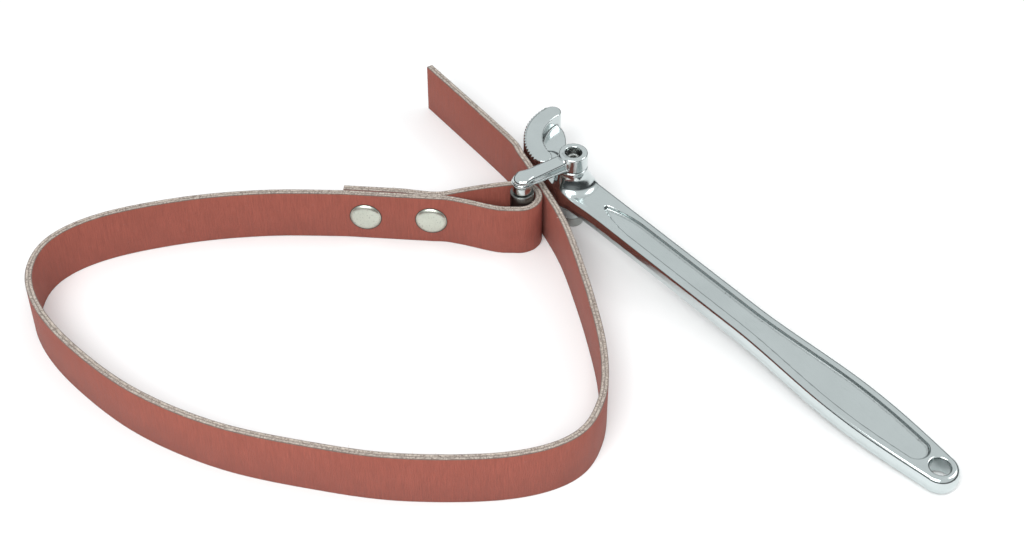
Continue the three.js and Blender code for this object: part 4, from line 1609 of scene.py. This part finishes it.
class WRENCH_OT_strap(Operator):
    """Build the two-ply belt and the loose yarns on its cut edge"""

    bl_idname = "wrench.strap"
    bl_label = "Strap"

    def execute(self, context):
        sizes, finish = settings().strap, settings().finish
        foot, width, thickness = strap_line()
        along = np.concatenate([[0], np.cumsum(np.linalg.norm(np.diff(foot, axis=0), axis=1))])
        line = bpy.data.meshes.new("strap")
        points = [(x, y, width / 2) for x, y in foot]
        line.from_pydata(points, [(i, i + 1) for i in range(len(points) - 1)], [])
        line.attributes.new("along", "FLOAT", "POINT").data.foreach_set("value", along)
        outline = belt_section(thickness, width, sizes)
        section_mesh = bpy.data.meshes.new("section")
        count = len(outline)
        corners = [(x, y, 0) for x, y in outline]
        section_mesh.from_pydata(corners, [(i, (i + 1) % count) for i in range(count)], [])
        places = section_mesh.attributes.new("section", "FLOAT_VECTOR", "POINT")
        places.data.foreach_set("vector", np.array(corners).ravel())
        section = placed("section", section_mesh)
        strap = placed("belt", line)
        pitch = sizes.weave_pitch
        cut = (cut_edge_finish, finish.canvas, finish.seam, pitch, thickness)
        values = {
            "Section": section,
            "Half Width": width / 2,
            "Length": float(along[-1]),
            "Raggedness": sizes.raggedness,
            "Edge Band": sizes.corner * 0.8,
            "Face Material": finish_for("rubbered canvas", rubber_finish, finish.rubber, pitch),
            "Edge Material": finish_for("cut belt edge", *cut),
        }
        grown(strap, shared_tree("belt sweep", belt_sweep), values)
        bpy.data.objects.remove(section)
        self.faces_outwards(strap.data)
        yarns = placed("belt_yarns", strap.data.copy())
        values = {
            "Half Width": width / 2,
            "Edge Band": sizes.corner * 0.5,
            "Density": sizes.loose_density,
            "Thread Length": sizes.loose_length,
            "Thread Radius": sizes.loose_radius,
            "Seed": 11,
            "Material": finish_for("loose yarn", yarn_finish, finish.canvas),
        }
        grown(yarns, shared_tree("loose yarns", loose_yarns), values)
        claim(strap, "strap", "belt", "strap")
        claim(yarns, "strap", "belt")
        return {"FINISHED"}

    def faces_outwards(self, data):
        """Faces point out, flat sides shade smoothly and corners stay crisp."""
        mesh = bmesh.new()
        mesh.from_mesh(data)
        bmesh.ops.recalc_face_normals(mesh, faces=mesh.faces)
        mesh.to_mesh(data)
        mesh.free()
        crisp(smooth(data), 50)


# ---- Rivets ----


class WRENCH_OT_rivets(Operator):
    """Build the two rivets through the belt's lap and the washers under their tails"""

    bl_idname = "wrench.rivets"
    bl_label = "Rivets and washers"

    def execute(self, context):
        sizes = settings().rivet
        left, right = strap_outline()
        fold = (left + right) / 2
        back = Vector(fold[-1] - fold[-2]).normalized()
        out = Vector((back.y, -back.x, 0))
        thickness = float(np.linalg.norm(left[-1] - right[-1]))
        gap = sizes.clearance
        lap = 2 * thickness + gap
        washer_at = lap + gap
        feet = []
        for number in (1, 2):
            low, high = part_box(f"rivet_cap_{number}")
            feet.append((low + high) / 2 - out * (washer_at + sizes.cap_thickness / 2))
        rivet = self.rivet(sizes, washer_at)
        self.build("rivet_pair", rivet, feet, out, ("rivet_1", "rivet_2"))
        inner, outer, bevel = sizes.shank_radius + gap, 6 * MM, 1.1 * MM
        top = washer_at + sizes.cap_thickness
        ring = [
            (inner, washer_at),
            (outer, washer_at),
            (outer, washer_at + 0.45 * sizes.cap_thickness),
            (outer - bevel, top),
            (inner, top),
        ]
        washer = turned("rivet_washer", rounded_ring(ring, 0.25 * MM))
        self.build("rivet_washers", washer, feet, out, ("rivet_cap_1", "rivet_cap_2"))
        return {"FINISHED"}

    def rivet(self, sizes, washer_at):
        """A rivet drawn up from its head, which lies on the belt's inner face at height zero."""
        seat = -sizes.clearance / 2
        head = [(0, seat - sizes.head_rise)]
        dome = sizes.head_radius - sizes.head_shadow_lip
        for share in (0.3, 0.55, 0.72, 0.82, 0.89, 0.94, 0.97, 0.99):
            head.append((dome * share, seat - sizes.head_rise * (1 - share**8)))
        tail_foot = washer_at + sizes.cap_thickness + sizes.clearance
        tail_top = tail_foot + sizes.tail_rise
        rest = [
            (sizes.head_radius, seat),
            (sizes.shank_radius, seat),
            (sizes.shank_radius, tail_foot),
            (sizes.tail_radius, tail_foot),
            (sizes.tail_radius * 0.85, tail_top),
            (sizes.tail_radius * 0.4, tail_top - 0.05 * MM),
            (0, tail_top - 0.3 * MM),
        ]
        # The lip is drawn almost black by the nickel finish: a painted shadow where the head meets
        # the belt.
        lip_top = seat - 0.06 * MM
        lip = [(dome, lip_top), (sizes.head_radius, lip_top)]
        corners = rounded([head[-1], *lip, *rest], 0.2 * MM, 3)
        return turned("rivet", head + corners[1:])

    def build(self, name, copied_mesh, feet, out, nodes):
        copied = placed("copied", copied_mesh)
        points = bpy.data.meshes.new(name)
        points.from_pydata([tuple(f) for f in feet], [], [])
        piece = placed(name, points)
        values = {"Copied": copied, "Direction": tuple(out), "Material": nickel()}
        grown(piece, shared_tree("row on points", row_on_points), values)
        bpy.data.objects.remove(copied)
        claim(piece, "strap", "nickel", *nodes)


# ---- Stage ----

FLOOR_REACH = 3.0
LIT_PLACE = (0.03, -0.09, 0)
LIGHTS = (
    # name, place, width, height and watts
    ("front light", (0.45, -0.75, 0.9), 0.9, 0.7, 13),
    ("back light", (0.5, 0.75, 0.9), 0.5, 0.5, 3),
)
SKY = (
    # height and colour, dark below the horizon and pale above it
    (0.26, (0.03, 0.033, 0.035, 1)),
    (0.46, (0.82, 0.84, 0.845, 1)),
)
CAMERA_PLACE = (0.4577, -0.4473, 0.5616)
CAMERA_TILT = math.radians(46.93)  # from straight down
CAMERA_HEADING = math.radians(48.07)
CAMERA_LENS, CAMERA_SENSOR = 66.1, 36  # in millimetres


def soft_light(name, place, width, height, watts):
    light = bpy.data.lights.new(name, "AREA")
    light.shape = "RECTANGLE"
    light.size, light.size_y = width, height
    light.energy = watts
    lamp = bpy.data.objects.new(name, light)
    lamp.location = place
    towards = Vector(LIT_PLACE) - Vector(place)
    lamp.rotation_euler = towards.to_track_quat("-Z", "Y").to_euler()
    bpy.context.scene.collection.objects.link(lamp)


class WRENCH_OT_stage(Operator):
    """Build the floor, the soft light and the camera"""

    bl_idname = "wrench.stage"
    bl_label = "Stage"

    def execute(self, context):
        scene = context.scene
        scene.view_settings.view_transform = "Standard"
        self.floor()
        self.sky(scene)
        for light in LIGHTS:
            soft_light(*light)
        lens = bpy.data.cameras.new("camera")
        lens.lens, lens.sensor_width = CAMERA_LENS, CAMERA_SENSOR
        camera = bpy.data.objects.new("camera", lens)
        camera.location = CAMERA_PLACE
        camera.rotation_euler = (CAMERA_TILT, 0, CAMERA_HEADING)
        scene.collection.objects.link(camera)
        scene.camera = camera
        return {"FINISHED"}

    def floor(self):
        mesh = bpy.data.meshes.new("floor")
        signs = ((-1, -1), (1, -1), (1, 1), (-1, 1))
        corners = [(x * FLOOR_REACH, y * FLOOR_REACH, 0) for x, y in signs]
        mesh.from_pydata(corners, [], [(0, 1, 2, 3)])
        floor = placed("floor", mesh, floor_finish("pale floor", tuple(settings().finish.floor)))

    def sky(self, scene):
        """A pale surround that darkens towards the horizon, for the metal to mirror."""
        world = bpy.data.worlds.new("surround")
        world.use_nodes = True
        tree = world.node_tree
        place = add(tree, "ShaderNodeTexCoord").outputs["Generated"]
        height = add(tree, "ShaderNodeSeparateXYZ", {0: place}).outputs[2]
        ramp = add(tree, "ShaderNodeValToRGB", {0: height})
        for element, (position, colour_there) in zip(ramp.color_ramp.elements, SKY):
            element.position = position
            element.color = colour_there
        tree.links.new(ramp.outputs[0], tree.nodes["Background"].inputs["Color"])
        scene.world = world


# ---- Add-on ----


class WRENCH_PT_panel(Panel):
    """Lists the sizes, the colours and the pieces"""

    bl_idname = "WRENCH_PT_panel"
    bl_label = "Strap wrench"
    bl_space_type = "VIEW_3D"
    bl_region_type = "UI"
    bl_category = "Wrench"

    def draw(self, context):
        for part in ("handle", "jaw", "link", "strap", "rivet", "finish"):
            section = self.layout.box()
            section.label(text=part.capitalize())
            group_settings = getattr(context.scene.wrench, part)
            for key in group_settings.bl_rna.properties.keys():
                if key not in ("rna_type", "name"):
                    section.prop(group_settings, key)
        for step in PIECES:
            self.layout.operator(step.bl_idname)


PIECES = (
    WRENCH_OT_handle,
    WRENCH_OT_teeth,
    WRENCH_OT_link,
    WRENCH_OT_pivot,
    WRENCH_OT_roller,
    WRENCH_OT_strap,
    WRENCH_OT_rivets,
    WRENCH_OT_stage,
)
CLASSES = (
    HandleSizes,
    JawSizes,
    LinkSizes,
    StrapSizes,
    RivetSizes,
    Finish,
    WrenchSettings,
    *PIECES,
    WRENCH_PT_panel,
)


def register():
    for one in CLASSES:
        bpy.utils.register_class(one)
    bpy.types.Scene.wrench = PointerProperty(type=WrenchSettings)


def unregister():
    del bpy.types.Scene.wrench
    for one in reversed(CLASSES):
        bpy.utils.unregister_class(one)


def main():
    register()
    for piece in PIECES:
        getattr(bpy.ops.wrench, piece.bl_idname.split(".")[1])()


if __name__ == "__main__":
    main()
